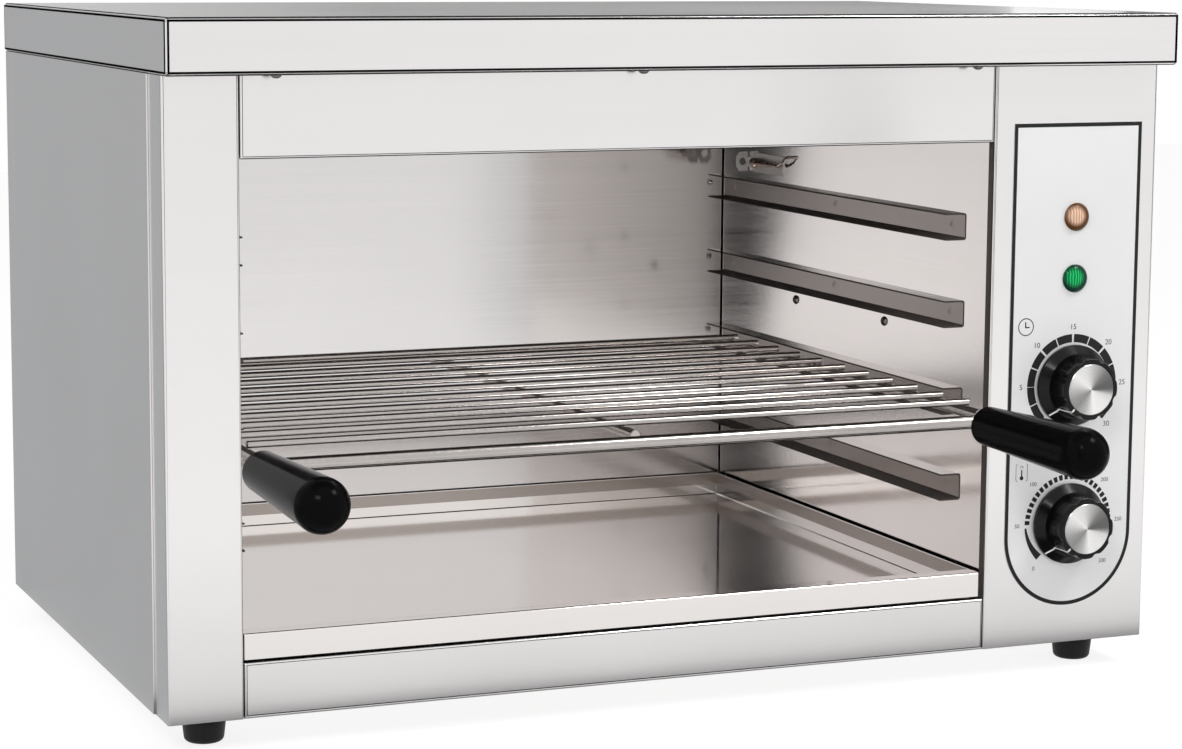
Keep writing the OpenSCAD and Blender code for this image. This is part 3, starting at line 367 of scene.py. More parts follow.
def on_axis(axis, u, v, w):
    """Point from two in-plane coordinates and one along the axis."""
    point = [0.0, 0.0, 0.0]
    for place_at, value in zip(PLANES[axis], (u, v, w)):
        point[place_at] = value
    return point


def fold_lines(axis, first, second):
    """Fold lines along an axis, at each pairing of places along the other two."""
    return [(axis, u, v) for u in first for v in second]


def on_fold(edge, fold, grow):
    """Whether an edge lies on a fold line, or at the given distance inside both of its faces."""
    axis, u, v = fold
    a, b, _ = PLANES[axis]
    first, second = (vert.co for vert in edge.verts)
    if abs(first[a] - second[a]) > 1e-3 or abs(first[b] - second[b]) > 1e-3:
        return False
    if grow and edge.is_convex:
        return False
    return abs(abs(first[a] - u) - grow) < 1e-3 and abs(abs(first[b] - v) - grow) < 1e-3


def walls(low, high, sides, depth=None):
    """Sheets along the named sides of a box, such as "-x +z"; with a depth they stop behind its front."""
    sheets = []
    for sign, axis in sides.split():
        a = "xyz".index(axis)
        start, end = list(low), list(high)
        if depth:
            end[1] = start[1] + depth
        if sign == "-":
            end[a] = start[a] + SHEET
        else:
            start[a] = end[a] - SHEET
        sheets.append((start, end))
    return sheets


def round_path(path, radius, steps=6):
    """Open path with its corners rounded, as (point, left normal) pairs."""
    points = [Vector(p) for p in path]
    runs = [(b - a).normalized() for a, b in zip(points, points[1:])]
    lefts = [Vector((-run.y, run.x)) for run in runs]
    result = [(points[0], lefts[0])]
    for corner, run, left, following in zip(points[1:], runs, lefts, runs[1:]):
        bend = -run.angle_signed(following)
        inward = math.copysign(radius, bend)
        centre = corner - run * radius * math.tan(abs(bend) / 2) + left * inward
        for k in range(steps + 1):
            normal = Matrix.Rotation(bend * k / steps, 2) @ left
            result.append((centre - normal * inward, normal))
    return result + [(points[-1], lefts[-1])]


def hoop(centre, side, other, radius, segments):
    """Ring of points in the plane of two directions; one point where there is no radius."""
    if radius < 1e-6:
        return [centre]
    return [centre + u * side + v * other for u, v in circle((0, 0), radius, segments)]


class Shape:
    """Collects solids in millimetres and makes one object of them."""

    def __init__(self):
        self.bm = bmesh.new()

    def loft(self, rings, index=0, caps=False):
        """Skin over rings of points, with or without end faces; a ring of one point is a tip."""
        rings = [[self.bm.verts.new(point) for point in ring] for ring in rings]
        loops = [rings[0], rings[-1]] if caps else []
        for first, second in zip(rings, rings[1:]):
            count = max(len(first), len(second))
            for k in range(count):
                j = (k + 1) % count
                loops.append(([first[k], first[j]] if len(first) > 1 else first)
                             + ([second[j], second[k]] if len(second) > 1 else second))
        for loop in loops:
            self.bm.faces.new(loop).material_index = index

    def prism(self, outline, axis, low, high, index=0):
        """Flat outline pulled along an axis."""
        self.loft([[on_axis(axis, u, v, w) for u, v in outline] for w in (low, high)], index, caps=True)

    def box(self, first, second, index=0):
        """Block between two opposite corners."""
        (x0, y0, z0), (x1, y1, z1) = first, second
        self.prism([(x0, y0), (x1, y0), (x1, y1), (x0, y1)], "z", z0, z1, index)

    def plates(self, boxes, folds, radius=BEND):
        """Plates joined into one solid, with its fold lines rounded inside and out.

        A fold line is its axis and its place along the other two, on the outside of the sheet."""
        bm = bmesh.new()
        cuts = [sorted({round(corner[a], 4) for box in boxes for corner in box}) for a in range(3)]
        middles = [[(lo + hi) / 2 for lo, hi in zip(c, c[1:])] for c in cuts]

        def filled(cell):
            if any(not 0 <= i < len(m) for i, m in zip(cell, middles)):
                return False
            point = [m[i] for i, m in zip(cell, middles)]
            return any(all(lo < p < hi for lo, p, hi in zip(low, point, high)) for low, high in boxes)

        @functools.cache
        def vert(key):
            return bm.verts.new([cuts[a][i] for a, i in enumerate(key)])

        for cell in filter(filled, itertools.product(*(range(len(m)) for m in middles))):
            for a, side in itertools.product(range(3), (0, 1)):
                if filled(tuple(i + (2 * side - 1) * (a == n) for n, i in enumerate(cell))):
                    continue
                quad = []
                for b_step, c_step in ((0, 0), (1, 0), (1, 1), (0, 1)):
                    key = list(cell)
                    key[a] += side
                    key[(a + 1) % 3] += b_step
                    key[(a + 2) % 3] += c_step
                    quad.append(vert(tuple(key)))
                bm.faces.new(quad if side else quad[::-1])
        bmesh.ops.dissolve_limit(bm, angle_limit=0.01, verts=bm.verts[:], edges=bm.edges[:])
        for grow, width, steps in ((0.0, radius, 5), (SHEET, radius - SHEET, 3)):
            chosen = [e for e in bm.edges if any(on_fold(e, fold, grow) for fold in folds)]
            if chosen:
                bmesh.ops.bevel(bm, geom=chosen, offset=width, offset_type="OFFSET", segments=steps,
                                profile=0.5, affect="EDGES", clamp_overlap=False)
        self.merge(bm)

    def merge(self, bm, turn=None):
        """Adds another mesh, freed afterwards."""
        mesh = bpy.data.meshes.new("part")
        bm.to_mesh(mesh)
        bm.free()
        if turn:
            mesh.transform(turn)
        self.bm.from_mesh(mesh)
        bpy.data.meshes.remove(mesh)

    def fold(self, path, axis, low, high):
        """Folded sheet along the middle line of its thickness."""
        half = SHEET / 2
        self.loft([[on_axis(axis, *(point + normal * side), w)
                    for side, w in ((half, low), (-half, low), (-half, high), (half, high))]
                   for point, normal in round_path(path, BEND - half)], caps=True)

    def bar(self, start, end, across, width, thick, index=0):
        """Flat bar between two points, its width along the given direction."""
        start, end, across = Vector(start), Vector(end), Vector(across).normalized() * (width / 2)
        deep = (end - start).cross(across).normalized() * (thick / 2)
        self.loft([[p - across - deep, p + across - deep, p + across + deep, p - across + deep]
                   for p in (start, end)], index, caps=True)

    def frame(self, outer, inner, axis, low, high):
        """Flat outline with a hole, pulled along an axis."""
        flat = bmesh.new()
        edges = []
        for outline in (outer, inner):
            verts = [flat.verts.new(on_axis(axis, u, v, low)) for u, v in outline]
            edges += [flat.edges.new(pair) for pair in zip(verts, verts[1:] + verts[:1])]
        bmesh.ops.triangle_fill(flat, use_beauty=True, use_dissolve=False, edges=edges)
        pulled = bmesh.ops.extrude_face_region(flat, geom=flat.faces[:])["geom"]
        bmesh.ops.translate(flat, vec=on_axis(axis, 0.0, 0.0, high - low),
                            verts=[g for g in pulled if isinstance(g, bmesh.types.BMVert)])
        self.merge(flat)

    def turn(self, profile, centre, direction, segments, index=0):
        """Turned solid; the profile is a list of (radius, distance along the direction)."""
        direction = Vector(direction).normalized()
        side = direction.orthogonal().normalized()
        other = direction.cross(side)
        self.loft([hoop(Vector(centre) + direction * height, side, other, radius, segments)
                   for radius, height in profile], index)

    def rod(self, start, end, radius, chamfer, segments=20, index=0):
        """Round bar with a small chamfer at each end."""
        run = Vector(end) - Vector(start)
        length, inner = run.length, radius - chamfer
        self.turn([(0, 0), (inner, 0), (radius, chamfer), (radius, length - chamfer), (inner, length),
                   (0, length)], start, run, segments, index)

    def tube(self, points, radius, segments):
        """Round wire swept along a list of points."""
        points = [Vector(p) for p in points]
        side, rings = (points[1] - points[0]).orthogonal(), []
        for before, point, after in zip(points[:1] + points, points, points[1:] + points[-1:]):
            tangent = (after - before).normalized()
            side = (side - tangent * side.dot(tangent)).normalized()
            rings.append(hoop(point, side, tangent.cross(side), radius, segments))
        self.loft(rings, caps=True)

    def bead(self, centre, radii, rows=5, segments=8):
        """Small rounded bead, such as a weld."""
        x, y, z = centre
        rings = []
        for height, reach in oval((0, 0), (1, 1), [180.0 * i / rows for i in range(rows + 1)]):
            level = z + radii[2] * height
            around = [(x + radii[0] * u, y + radii[1] * v, level) for u, v in circle((0, 0), reach, segments)]
            rings.append(around if reach > 1e-6 else [(x, y, level)])
        self.loft(rings)

    def object(self, name, keys, edge=CUT_EDGE, angle=SMOOTH_ANGLE):
        """The finished object, with the named materials and its cut edges rounded."""
        bmesh.ops.recalc_face_normals(self.bm, faces=self.bm.faces[:])
        mesh = bpy.data.meshes.new(name)
        self.bm.to_mesh(mesh)
        self.bm.free()
        mesh.transform(Matrix.Scale(MM, 4))
        for key in keys.split():
            mesh.materials.append(MATERIALS[key])
        item = link_object(name, mesh)
        if edge:
            bevel = item.modifiers.new("edge", "BEVEL")
            bevel.width = edge * MM
            bevel.segments = 2
            bevel.limit_method = "ANGLE"
            bevel.angle_limit = math.radians(50.0)
        return finish_mesh(item, angle)

    def piece(self, name, keys, *nodes, slot="", body="cabinet", cutter=None, glossy=True, **finish):
        """The finished piece on its body, in place of CAD nodes; its slot argument is not used."""
        item = self.object(name, keys, **finish)
        if cutter:
            cut_out(item, cutter)
        item.visible_glossy = glossy
        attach(item, body)
        if nodes:
            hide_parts(*nodes)
        return item


def finish_mesh(item, angle=SMOOTH_ANGLE):
    """Applies the modifiers and gives the mesh smooth faces, sharp edges and weighted normals."""
    apply_modifiers(item)
    mesh = item.data
    mesh.polygons.foreach_set("use_smooth", [True] * len(mesh.polygons))
    mesh.set_sharp_from_angle(angle=math.radians(angle))
    weighted = item.modifiers.new("normals", "WEIGHTED_NORMAL")
    weighted.keep_sharp = True
    weighted.weight = 80
    apply_modifiers(item)
    return item


def apply_modifiers(item):
    if not item.modifiers:
        return
    graph = bpy.context.evaluated_depsgraph_get()
    mesh = bpy.data.meshes.new_from_object(item.evaluated_get(graph))
    old = item.data
    item.modifiers.clear()
    item.data = mesh
    bpy.data.meshes.remove(old)


def cut_out(item, cutter):
    """Takes the cutter's shape out of the piece and finishes it again."""
    tool = cutter.object("cutter", "", edge=0)
    boolean = item.modifiers.new("cut", "BOOLEAN")
    boolean.operation = "DIFFERENCE"
    boolean.solver = "EXACT"
    boolean.use_self = True
    boolean.object = tool
    apply_modifiers(item)
    bpy.data.objects.remove(tool)
    finish_mesh(item)


def repaint(item, index, chosen):
    """Gives one of its other materials to the faces picked by their centre, in millimetres, and normal."""
    for face in item.data.polygons:
        if chosen(face.center / MM, face.normal):
            face.material_index = index


# ---- Casing ----

COLUMN_RETURN, FASCIA_RETURN = 5.0, 4.0    # depth of the short returns at an end
COVER_BEND = 2.5
COVER_SIDE, COVER_FRONT, COVER_REAR = 16.0, 31.0, 14.0    # depth of the returns under the cover's edges


def skin(node, plates, folds, radius=BEND, keys="panel_grain_x"):
    """Folded panel over its CAD node."""
    shape = Shape()
    shape.plates(plates, folds, radius)
    return shape.piece(node + "_skin", keys, node, slot="stainless_panel")


def make_casing():
    low, high = corners("left_column")
    skin("left_column", walls(low, high, "-y -x") + walls(low, high, "+x", COLUMN_RETURN)
         + walls(low, high, "+z", FLANGE), fold_lines("z", (low.x, high.x), (low.y,)))

    low, high = corners("control_panel")
    item = skin("control_panel", walls(low, high, "-y +x") + walls(low, high, "-x +z", FLANGE),
                fold_lines("z", (low.x, high.x), (low.y,)), keys="panel_grain_x edge_scale")
    # Painted shade: the inner faces of the panel's left flange get the dark edge material
    repaint(item, 1, lambda at, normal: normal.x < -0.85 and at.x < low.x + 0.5 and at.y > low.y + BEND)

    low, high = corners("top_fascia")
    skin("top_fascia", walls(low, high, "-y -z") + walls(low, high, "-x +x", FASCIA_RETURN)
         + walls(low, (high.x, high.y, low.z + FLANGE), "+y") + walls(low, high, "+z", FLANGE),
         fold_lines("z", (low.x, high.x), (low.y,)) + fold_lines("x", (low.y, high.y), (low.z,)))

    low, high = corners("bottom_fascia")
    skin("bottom_fascia", walls(low, high, "-y -z +z") + walls(low, high, "-x +x", FASCIA_RETURN),
         fold_lines("z", (low.x, high.x), (low.y,)) + fold_lines("x", (low.y,), (low.z, high.z)))

    make_side_panel(-1, "left_side_panel")
    make_side_panel(1, "right_side_panel")
    make_back_panel()
    make_cover()


def make_side_panel(side, node):
    """Side panel with flanges at its foot and head and a set-in strip at its rear."""
    low, high = corners(node)
    outer = low.x if side < 0 else high.x
    wall, flange = outer - side * SHEET, outer - side * (FLANGE + SHEET)
    joggle = wall - side * SHEET
    rear, start = high.y - 12.0, low.y + 19.0
    shape = Shape()
    shape.box((outer, low.y, low.z), (wall, rear, high.z))
    shape.box((wall, start, low.z + SHEET), (flange, rear, low.z + 2 * SHEET))
    shape.box((wall, start, high.z - SHEET), (flange, rear, high.z))
    shape.box((wall, rear - 2.0, low.z + 2 * SHEET), (joggle, high.y, high.z - SHEET))
    shape.piece(node + "_skin", "panel_grain_z", node, slot="stainless_panel", edge=0.25)


VENT_LENGTH, VENT_HEIGHT, VENT_PITCH, VENT_TOP, VENTS = 60.0, 4.0, 12.0, 318.0, 6
GLAND_X, GLAND_Z, GLAND_HOLE = 247.0, 60.0, 8.1


def make_back_panel():
    low, high = corners("back_panel")
    shape = Shape()
    shape.plates(walls(low, high, "+y -x +x"), fold_lines("z", (low.x, high.x), (high.y,)))
    for z in (low.z + SHEET, high.z - SHEET):
        shape.box((low.x + 3.0, low.y + 2.0, z), (high.x - 3.0, high.y - SHEET, z + SHEET))
    cutter = Shape()
    through = ("y", high.y - 5.0, high.y + 5.0)
    end = VENT_HEIGHT / 2
    half = VENT_LENGTH / 2 - end
    for i in range(VENTS):
        z = VENT_TOP - i * VENT_PITCH
        cutter.prism(oval((GLAND_X + half, z), (end, end), range(-90, 91, 30))
                     + oval((GLAND_X - half, z), (end, end), range(90, 271, 30)), *through)
    cutter.prism(circle((GLAND_X, GLAND_Z), GLAND_HOLE, 32), *through)
    shape.piece("back_panel_skin", "panel_grain_x", "back_panel", slot="stainless_panel", cutter=cutter)


def make_cover():
    low, high = corners("top_cover")
    x0, y0, z0 = low
    x1, y1, z1 = high
    returns = [((x0, y0), (x1, y0 + COVER_FRONT)), ((x0, y1 - COVER_REAR), (x1, y1)),
               ((x0, y0), (x0 + COVER_SIDE, y1)), ((x1 - COVER_SIDE, y0), (x1, y1))]
    skin("top_cover", walls(low, high, "+z -y +y -x +x") + [((*a, z0), (*b, z0 + SHEET)) for a, b in returns],
         fold_lines("x", (y0, y1), (z0, z1)) + fold_lines("y", (x0, x1), (z0, z1))
         + fold_lines("z", (x0, x1), (y0, y1)), COVER_BEND)


# ---- Screws, feet, gland ----

def screw_heads(name, node, spots, direction, radius, height, shank, key):
    """Rounded heads with a cross recess, on the given spots, with plain shanks behind them."""
    seat, recess_width, recess_depth = 0.1, 0.75, 2.6
    profile = [(0, -seat), (radius - 0.15, -seat), (radius, seat)]
    profile += oval((0, seat), (radius, height - seat), (20, 40, 58, 74)) + [(0, height)]
    out = Vector(direction)
    side = out.orthogonal().normalized()
    other = out.cross(side)
    shape, cutter = Shape(), Shape()
    for spot in map(Vector, spots):
        shape.turn(profile, spot, direction, 32)
        shape.rod(spot - out * shank, spot, 1.5, 0.3, 16)
        top = spot + out * (height + 0.2)
        for along, across in ((side, other), (other, side)):
            reach = along * radius * 0.55
            cutter.bar(top - reach, top + reach, across, recess_width, recess_depth)
    shape.piece(name, key, node, slot="fastener_steel", edge=0, cutter=cutter)


def make_screws():
    small, large, height = 3.0, 3.5, 2.0
    low, high = corners("cover_screws")
    y, z = middle("cover_screws").y, low.z + height
    spots = [(x, y, z) for x in (low.x + small, (low.x + high.x) / 2, high.x - small)]
    screw_heads("cover_screw_heads", "cover_screws", spots, (0, 0, -1), small, height, 7.0,
                "screw_steel_painted_shade")
    low, high = corners("rear_screws")
    spots = [(x, high.y - height, z) for x in (low.x + large, 0.0, high.x - large)
             for z in (low.z + large, high.z - large)]
    screw_heads("rear_screw_heads", "rear_screws", spots, (0, 1, 0), large, height, 6.0, "fastener_steel")
    low, high = corners("wall_screws")
    spots = [(low.x + height, y, (low.z + high.z) / 2) for y in (low.y + small, high.y - small)]
    screw_heads("wall_screw_heads", "wall_screws", spots, (-1, 0, 0), small, height, 8.0, "screw_steel_painted_shade")
    make_rivets()


RIVET_HEAD = ((1.5, -1.0), (1.5, 0), (2.0, 0), (1.9, 0.25), (0.9, 0.3), (0.7, -0.4), (0, -0.5))
RIVET_PIN = ((0, -0.38), (0.62, -0.38), (0.62, -0.1), (0, 0.05))
RAIL_LEVELS = range(1, 5)


def make_rivets():
    """Flush rivets: a low head with the pulled pin's dimple in it, painted near-black as shade."""
    low, high = corners("rail_rivets")
    end = 2.1
    shape = Shape()
    for x, out in ((low.x + SHEET, 1), (high.x - SHEET, -1)):
        for level, y in itertools.product(RAIL_LEVELS, (low.y + end, (low.y + high.y) / 2, high.y - end)):
            spot = (x, y, middle("rail_left_%d" % level).z)
            shape.turn(RIVET_HEAD, spot, (out, 0, 0), 20)
            shape.turn(RIVET_PIN, spot, (out, 0, 0), 12, 1)
    shape.piece("rail_rivet_heads", "rail_steel recess_dark", "rail_rivets", slot="fastener_steel", edge=0)


def make_feet():
    """Rubber feet, hollow for the screw, with a rounded tip and a step under the pan."""
    for node in ("foot_front_left", "foot_front_right", "foot_rear_left", "foot_rear_right"):
        low, high = corners(node)
        centre = middle(node)
        top, tip, rim = (high.x - low.x) / 2, 11.0, 3.0
        profile = [(4.6, 12.0), (4.9, 0.4), (5.3, 0)] + oval((tip - rim, rim), (rim, rim), range(-90, 1, 15))
        profile += [(11.7, 9.0), (11.95, 11.8), (11.7, 12.3), (12.2, 12.8), (top, 17.4), (top - 0.5, high.z),
                    (2.6, high.z)]
        shape = Shape()
        shape.turn(profile + profile[:1], (centre.x, centre.y, 0.0), (0, 0, 1), 64)
        shape.piece(node + "_rubber", "foot_rubber", node, edge=0)


def make_gland():
    """Cable gland: body with its bore, nut inside the panel, ribbed cap."""
    low, high = corners("cable_gland")
    back = corners("back_panel")[1].y
    bore, neck, cap, ribs = 5.0, 8.0, 11.0, 24
    inner, outer = low.y - back, high.y - back
    profile = [(bore, inner), (neck, inner), (neck, 0), (cap, 0), (cap, 7.2), (10.2, 8.0), (9.0, 8.2),
               (8.8, 11.0), (neck, outer), (6.0, outer), (bore, 11.0)]
    shape = Shape()
    shape.turn(profile + profile[:1], (GLAND_X, back, GLAND_Z), (0, 1, 0), 64)
    shape.frame(circle((GLAND_X, GLAND_Z), cap, 6), circle((GLAND_X, GLAND_Z), neck + 0.02, 48), "y",
                back - 6.0, back - SHEET)
    for u, v in circle((0, 0), 1.0, ribs):
        spot = Vector((GLAND_X + cap * u, back + 0.8, GLAND_Z + cap * v))
        shape.bar(spot, spot + Vector((0, 5.6, 0)), (-v, 0, u), 1.2, 0.01)
    shape.piece("cable_gland_body", "gland_black", "cable_gland", edge=0.3)


# ---- Chamber ----

SEAM = 2.0             # gap between the back wall's sheet and the right wall


def make_back_wall():
    low, high = corners("chamber_back_wall")
    shape = Shape()
    shape.box(low, (high.x - SEAM, high.y, high.z))
    shape.piece("chamber_back_sheet", "chamber_grain_x", "chamber_back_wall", slot="stainless_chamber")


def make_rails():
    """Channel rails with painted light and shade: a pale copy of the steel on faces that face up, a dark copy
    elsewhere, and painted shade along their edges and ends; mirror images leave them out.
    """
    half = SHEET / 2
    for side, level in itertools.product(("left", "right"), RAIL_LEVELS):
        node = "rail_%s_%d" % (side, level)
        low, high = corners(node)
        lip, web = (high.x, low.x + half) if side == "left" else (low.x, high.x - half)
        bottom, top = low.z + half, high.z - half
        shape = Shape()
        shape.fold([(lip, bottom), (web, bottom), (web, top), (lip, top)], "y", low.y, high.y)
        item = shape.piece(node + "_channel", "rail_steel edge_scale rail_steel_open", node, glossy=False)
        # Painted light on the faces that face up; painted shade on the lower edge, the ends and the lip
        repaint(item, 2, lambda at, normal: normal.z > 0.7)
        repaint(item, 1, lambda at, normal: at.z < low.z + 2.0 or abs(normal.y) > 0.7
                or (at.z > high.z - 2.0 and abs(at.x - lip) < 0.3))


def make_tray():
    """Tray with a flat front rim that turns down into a lip."""
    low, high = corners("crumb_tray")
    rim, over, back, lip_rise, lip_bend = 10.0, 0.5, 8.0, 1.3, 1.15
    x0, y0, z0 = low.x + over, low.y + rim, low.z
    x1, y1, z1 = high.x - over, high.y, high.z
    shape = Shape()
    shape.plates(walls((x0, y0, z0), (x1, y1, z1), "-z -y +y -x +x")
                 + [((x0, low.y + back, z1 - SHEET), (x1, y0 + SHEET, z1))],
                 fold_lines("x", (y0, y1), (z0,)) + fold_lines("y", (x0, x1), (z0,)))
    lip = (low.x, low.y, low.z + lip_rise)
    shape.plates(walls(lip, high, "-y") + walls(lip, high, "-x +x +z", back),
                 fold_lines("z", (low.x, high.x), (low.y,)) + [("x", low.y, z1)], lip_bend)
    # Folded hem round the inside of the walls, in a dark copy of the steel: painted shade over the walls'
    # upper half
    hem, foot, head, front = 0.6, (z0 + z1) / 2, z1 - 0.3, y0 + 3.0
    left, right, rear = x0 + SHEET, x1 - SHEET, y1 - SHEET
    shape.box((left, front, foot), (left + hem, rear, head), 1)
    shape.box((right - hem, front, foot), (right, rear, head), 1)
    shape.box((left + hem, rear - hem, foot), (right - hem, rear, head), 1)
    shape.piece("crumb_tray_pan", "tray_steel tray_hem_steel", "crumb_tray", slot="stainless_tray",
                body="crumb_tray")


# ---- Heating and thermostat bulb ----

def make_elements():
    """Hairpin elements with a ceramic bead and a thin terminal on each leg."""
    radius, bead, terminal, tail = 4.0, 3.0, 1.75, 15.0
    for number in (1, 2, 3):
        node = "heating_element_%d" % number
        low, high = corners(node)
        y, z = middle(node).yz
        leg = (high.y - low.y) / 2 - radius
        end, bend = high.x - tail, low.x + leg + radius
        path = [(end, y + leg), (bend, y + leg), *oval((bend, y), (leg, leg), range(97, 264, 7)),
                (bend, y - leg), (end, y - leg)]
        shape = Shape()
        shape.tube([(*point, z) for point in path], radius, 24)
        for at in (y - leg, y + leg):
            shape.rod((end - 0.1, at, z), (end + 2.5, at, z), bead, 0.4, 20, 1)
            shape.rod((end + 2.4, at, z), (high.x, at, z), terminal, 0.3, 16, 2)
        shape.piece(node + "_tube", "element_steel ceramic_white fastener_steel", node, edge=0)


BULB = ((0, -2.0), (0.9, -2.0), (1.1, -0.4), (1.3, 1.0), (2.0, 14.0), (2.4, 25.0), (2.5, 26.5), (3.2, 28.0),
        (3.45, 30.5), (3.45, 33.5), (2.8, 35.4), (1.5, 36.3), (0, 36.45))


def make_bulb():
    """Thermostat bulb with its capillary tube through the wall, and the plate that clips it."""
    low, high = corners("thermostat_bulb")
    clip_low, clip_high = corners("bulb_bracket")
    z, wall = middle("bulb_bracket").z, clip_high.x
    face = wall - SHEET
    x, front = face - 3.2, high.y - 36.45
    shape = Shape()
    shape.turn(BULB, (x, front, z), (0, 1, 0), 32)
    duct, y_in, z_in = wall + 14.0, front - 16.0, z + 6.9
    turn_y, turn_z = low.y + 1.0, 90.0
    shape.tube([(x, front - 1.5, z), (x, front - 8.0, z + 2.4), (x, y_in + 1.5, z_in - 0.3),
                (x + 1.2, y_in + 0.2, z_in), (x + 3.0, y_in, z_in), (duct - 3.0, y_in, z_in),
                (duct - 0.8, y_in - 0.8, z_in), (duct, y_in - 3.0, z_in), (duct, turn_y + 3.0, z_in),
                (duct, turn_y + 0.8, z_in - 0.8), (duct, turn_y, z_in - 3.0), (duct, turn_y, turn_z + 3.0),
                (duct + 0.8, turn_y, turn_z + 0.8), (duct + 3.0, turn_y, turn_z), (high.x, turn_y, turn_z)],
               0.9, 12)
    shape.piece("thermostat_bulb_rod", "capillary_copper", "thermostat_bulb", edge=0)

    y0, y1, tab_y = clip_low.y, clip_high.y - 7.0, clip_high.y
    half, neck = 6.5, 3.25
    upper = [(tab_y, neck), (y1 - 0.6, neck), (y1 - 0.6, 3.6), (y1 - 3.4, half), (y0, half)]
    shape = Shape()
    shape.prism([(y, z - h) for y, h in reversed(upper)] + [(y, z + h) for y, h in upper], "x", face, wall)
    upper = [(face + 0.2, half), (clip_low.x + 2.2, half), (clip_low.x, 3.4)]
    shape.frame([(u, z - h) for u, h in reversed(upper)] + [(u, z + h) for u, h in upper],
                circle((face - 3.5, z), 2.6, 32), "y", tab_y - SHEET, tab_y)
    shape.piece("bulb_clip", "clip_steel", "bulb_bracket", slot="plain_steel")


# ---- Rack ----

ROD_R, BAR_R, WIRE_R, CENTRE_R = 3.5, 4.0, 2.0, 3.0
WIRE_PITCH, WIRE_MARGIN = 31.0, 15.0
RACK_FRONT, TANG_REAR = -138.0, -117.0


def make_rack():
    """Welded wire rack; mirror images leave it out."""
    low, high = corners("rack")
    left_x, right_x = low.x + ROD_R, high.x - ROD_R
    mid_x = (left_x + right_x) / 2
    wire_z = high.z - WIRE_R
    rod_z = wire_z - WIRE_R - 0.1 - ROD_R
    bar_z, tang_z = rod_z - 3.8, rod_z - 4.8
    bar_y, rear_y = RACK_FRONT + 2.0, high.y - ROD_R
    shape = Shape()
    for x in (left_x, right_x):
        shape.rod((x, RACK_FRONT, rod_z), (x, high.y, rod_z), ROD_R, 1.0)
        shape.rod((x, low.y, tang_z), (x, TANG_REAR, tang_z), ROD_R, 1.0)
    shape.rod((left_x, rear_y, rod_z), (right_x, rear_y, rod_z), ROD_R, 0.5)
    shape.rod((left_x, bar_y, bar_z), (right_x, bar_y, bar_z), BAR_R, 1.0)
    shape.rod((mid_x, bar_y, rod_z + 0.5), (mid_x, rear_y, rod_z + 0.5), CENTRE_R, 0.5)
    first = bar_y + WIRE_MARGIN
    for i in range(int((rear_y - WIRE_MARGIN - first) // WIRE_PITCH) + 1):
        y = first + i * WIRE_PITCH
        shape.rod((left_x - 1.5, y, wire_z), (right_x + 1.5, y, wire_z), WIRE_R, 0.5, 16)
        for x in (left_x, mid_x, right_x):
            shape.bead((x, y, wire_z - WIRE_R), (1.6, 2.1, 0.6))
    shape.piece("rack_wires", "wire_steel", "rack", body="rack", edge=0, glossy=False)


def make_handles():
    """Handles that widen from a rounded end at the tang to a domed tip; mirror images leave them out."""
    for node in ("handle_left", "handle_right"):
        low, high = corners(node)
        centre = middle(node)
        length = high.y - low.y
        big, small, rim = (high.x - low.x) / 2, 11.3, 1.5
        straight = length - big
        profile = [(0, 0), (small - rim, 0)] + oval((small - rim, rim), (rim, rim), range(-75, 1, 15))
        profile += [(small + (big - small) * k / 6, rim + (straight - rim) * k / 6) for k in range(1, 7)]
        profile += oval((0, straight), (big, big), range(6, 90, 6)) + [(0, length)]
        shape = Shape()
        shape.turn(profile, (centre.x, high.y, centre.z), (0, -1, 0), 64)
        shape.piece(node + "_grip", "handle_black", node, body="rack", edge=0, glossy=False)


# ---- Controls ----

LOBES = 8
SKIRT_R, GRIP_R = 24.0, 18.0
SKIRT_EDGE, SHOULDER = 2.5, 6.5            # height of the skirt's edge and of the grip's foot
POINTER_ANGLE, POINTER_WIDTH = -135.0, 1.0


def grip_radius(angle):
    """Outline of a knob's grip: a circle with a shallow round flute between two lobes."""
    flute_r, cut = 4.5, 1.2
    away = GRIP_R + flute_r - cut
    step = math.tau / LOBES
    local = angle % step - step / 2
    reach = abs(away * math.sin(local))
    if reach >= flute_r:
        return GRIP_R
    return min(GRIP_R, away * math.cos(local) - math.sqrt(flute_r ** 2 - reach ** 2))


def make_knob(name, body):
    """Knob with a bevelled skirt, a fluted grip, a pointer and a spun cap."""
    low, high = corners(name)
    centre = middle(name)
    x, back, z = centre.x, high.y, centre.z
    height = back - low.y
    shape = Shape()
    shape.turn([(0, 0), (SKIRT_R - 0.4, 0), (SKIRT_R, 0.4), (SKIRT_R, SKIRT_EDGE - 0.3),
                (SKIRT_R - 0.3, SKIRT_EDGE), (GRIP_R + 1.5, SHOULDER), (GRIP_R - 3.0, SHOULDER),
                (0, SHOULDER)], (x, back, z), (0, -1, 0), 96)
    angles = [math.tau * k / (16 * LOBES) for k in range(16 * LOBES)]
    reach = [grip_radius(t) for t in angles]
    shape.loft([[(x + (r - inset) * math.cos(t), back - level, z + (r - inset) * math.sin(t))
                 for t, r in zip(angles, reach)]
                for inset, level in ((0.0, SHOULDER - 1.0), (0.0, height - 0.8), (0.25, height - 0.25),
                                     (0.9, height), (2.6, height), (3.0, height - 0.5))], caps=True)
    add_pointer(shape, Vector((x, back, z)), height)
    shape.piece(name + "_body", "knob_black pointer_white", name, body=body, edge=0, angle=40)
    make_cap(name + "_cap", body)


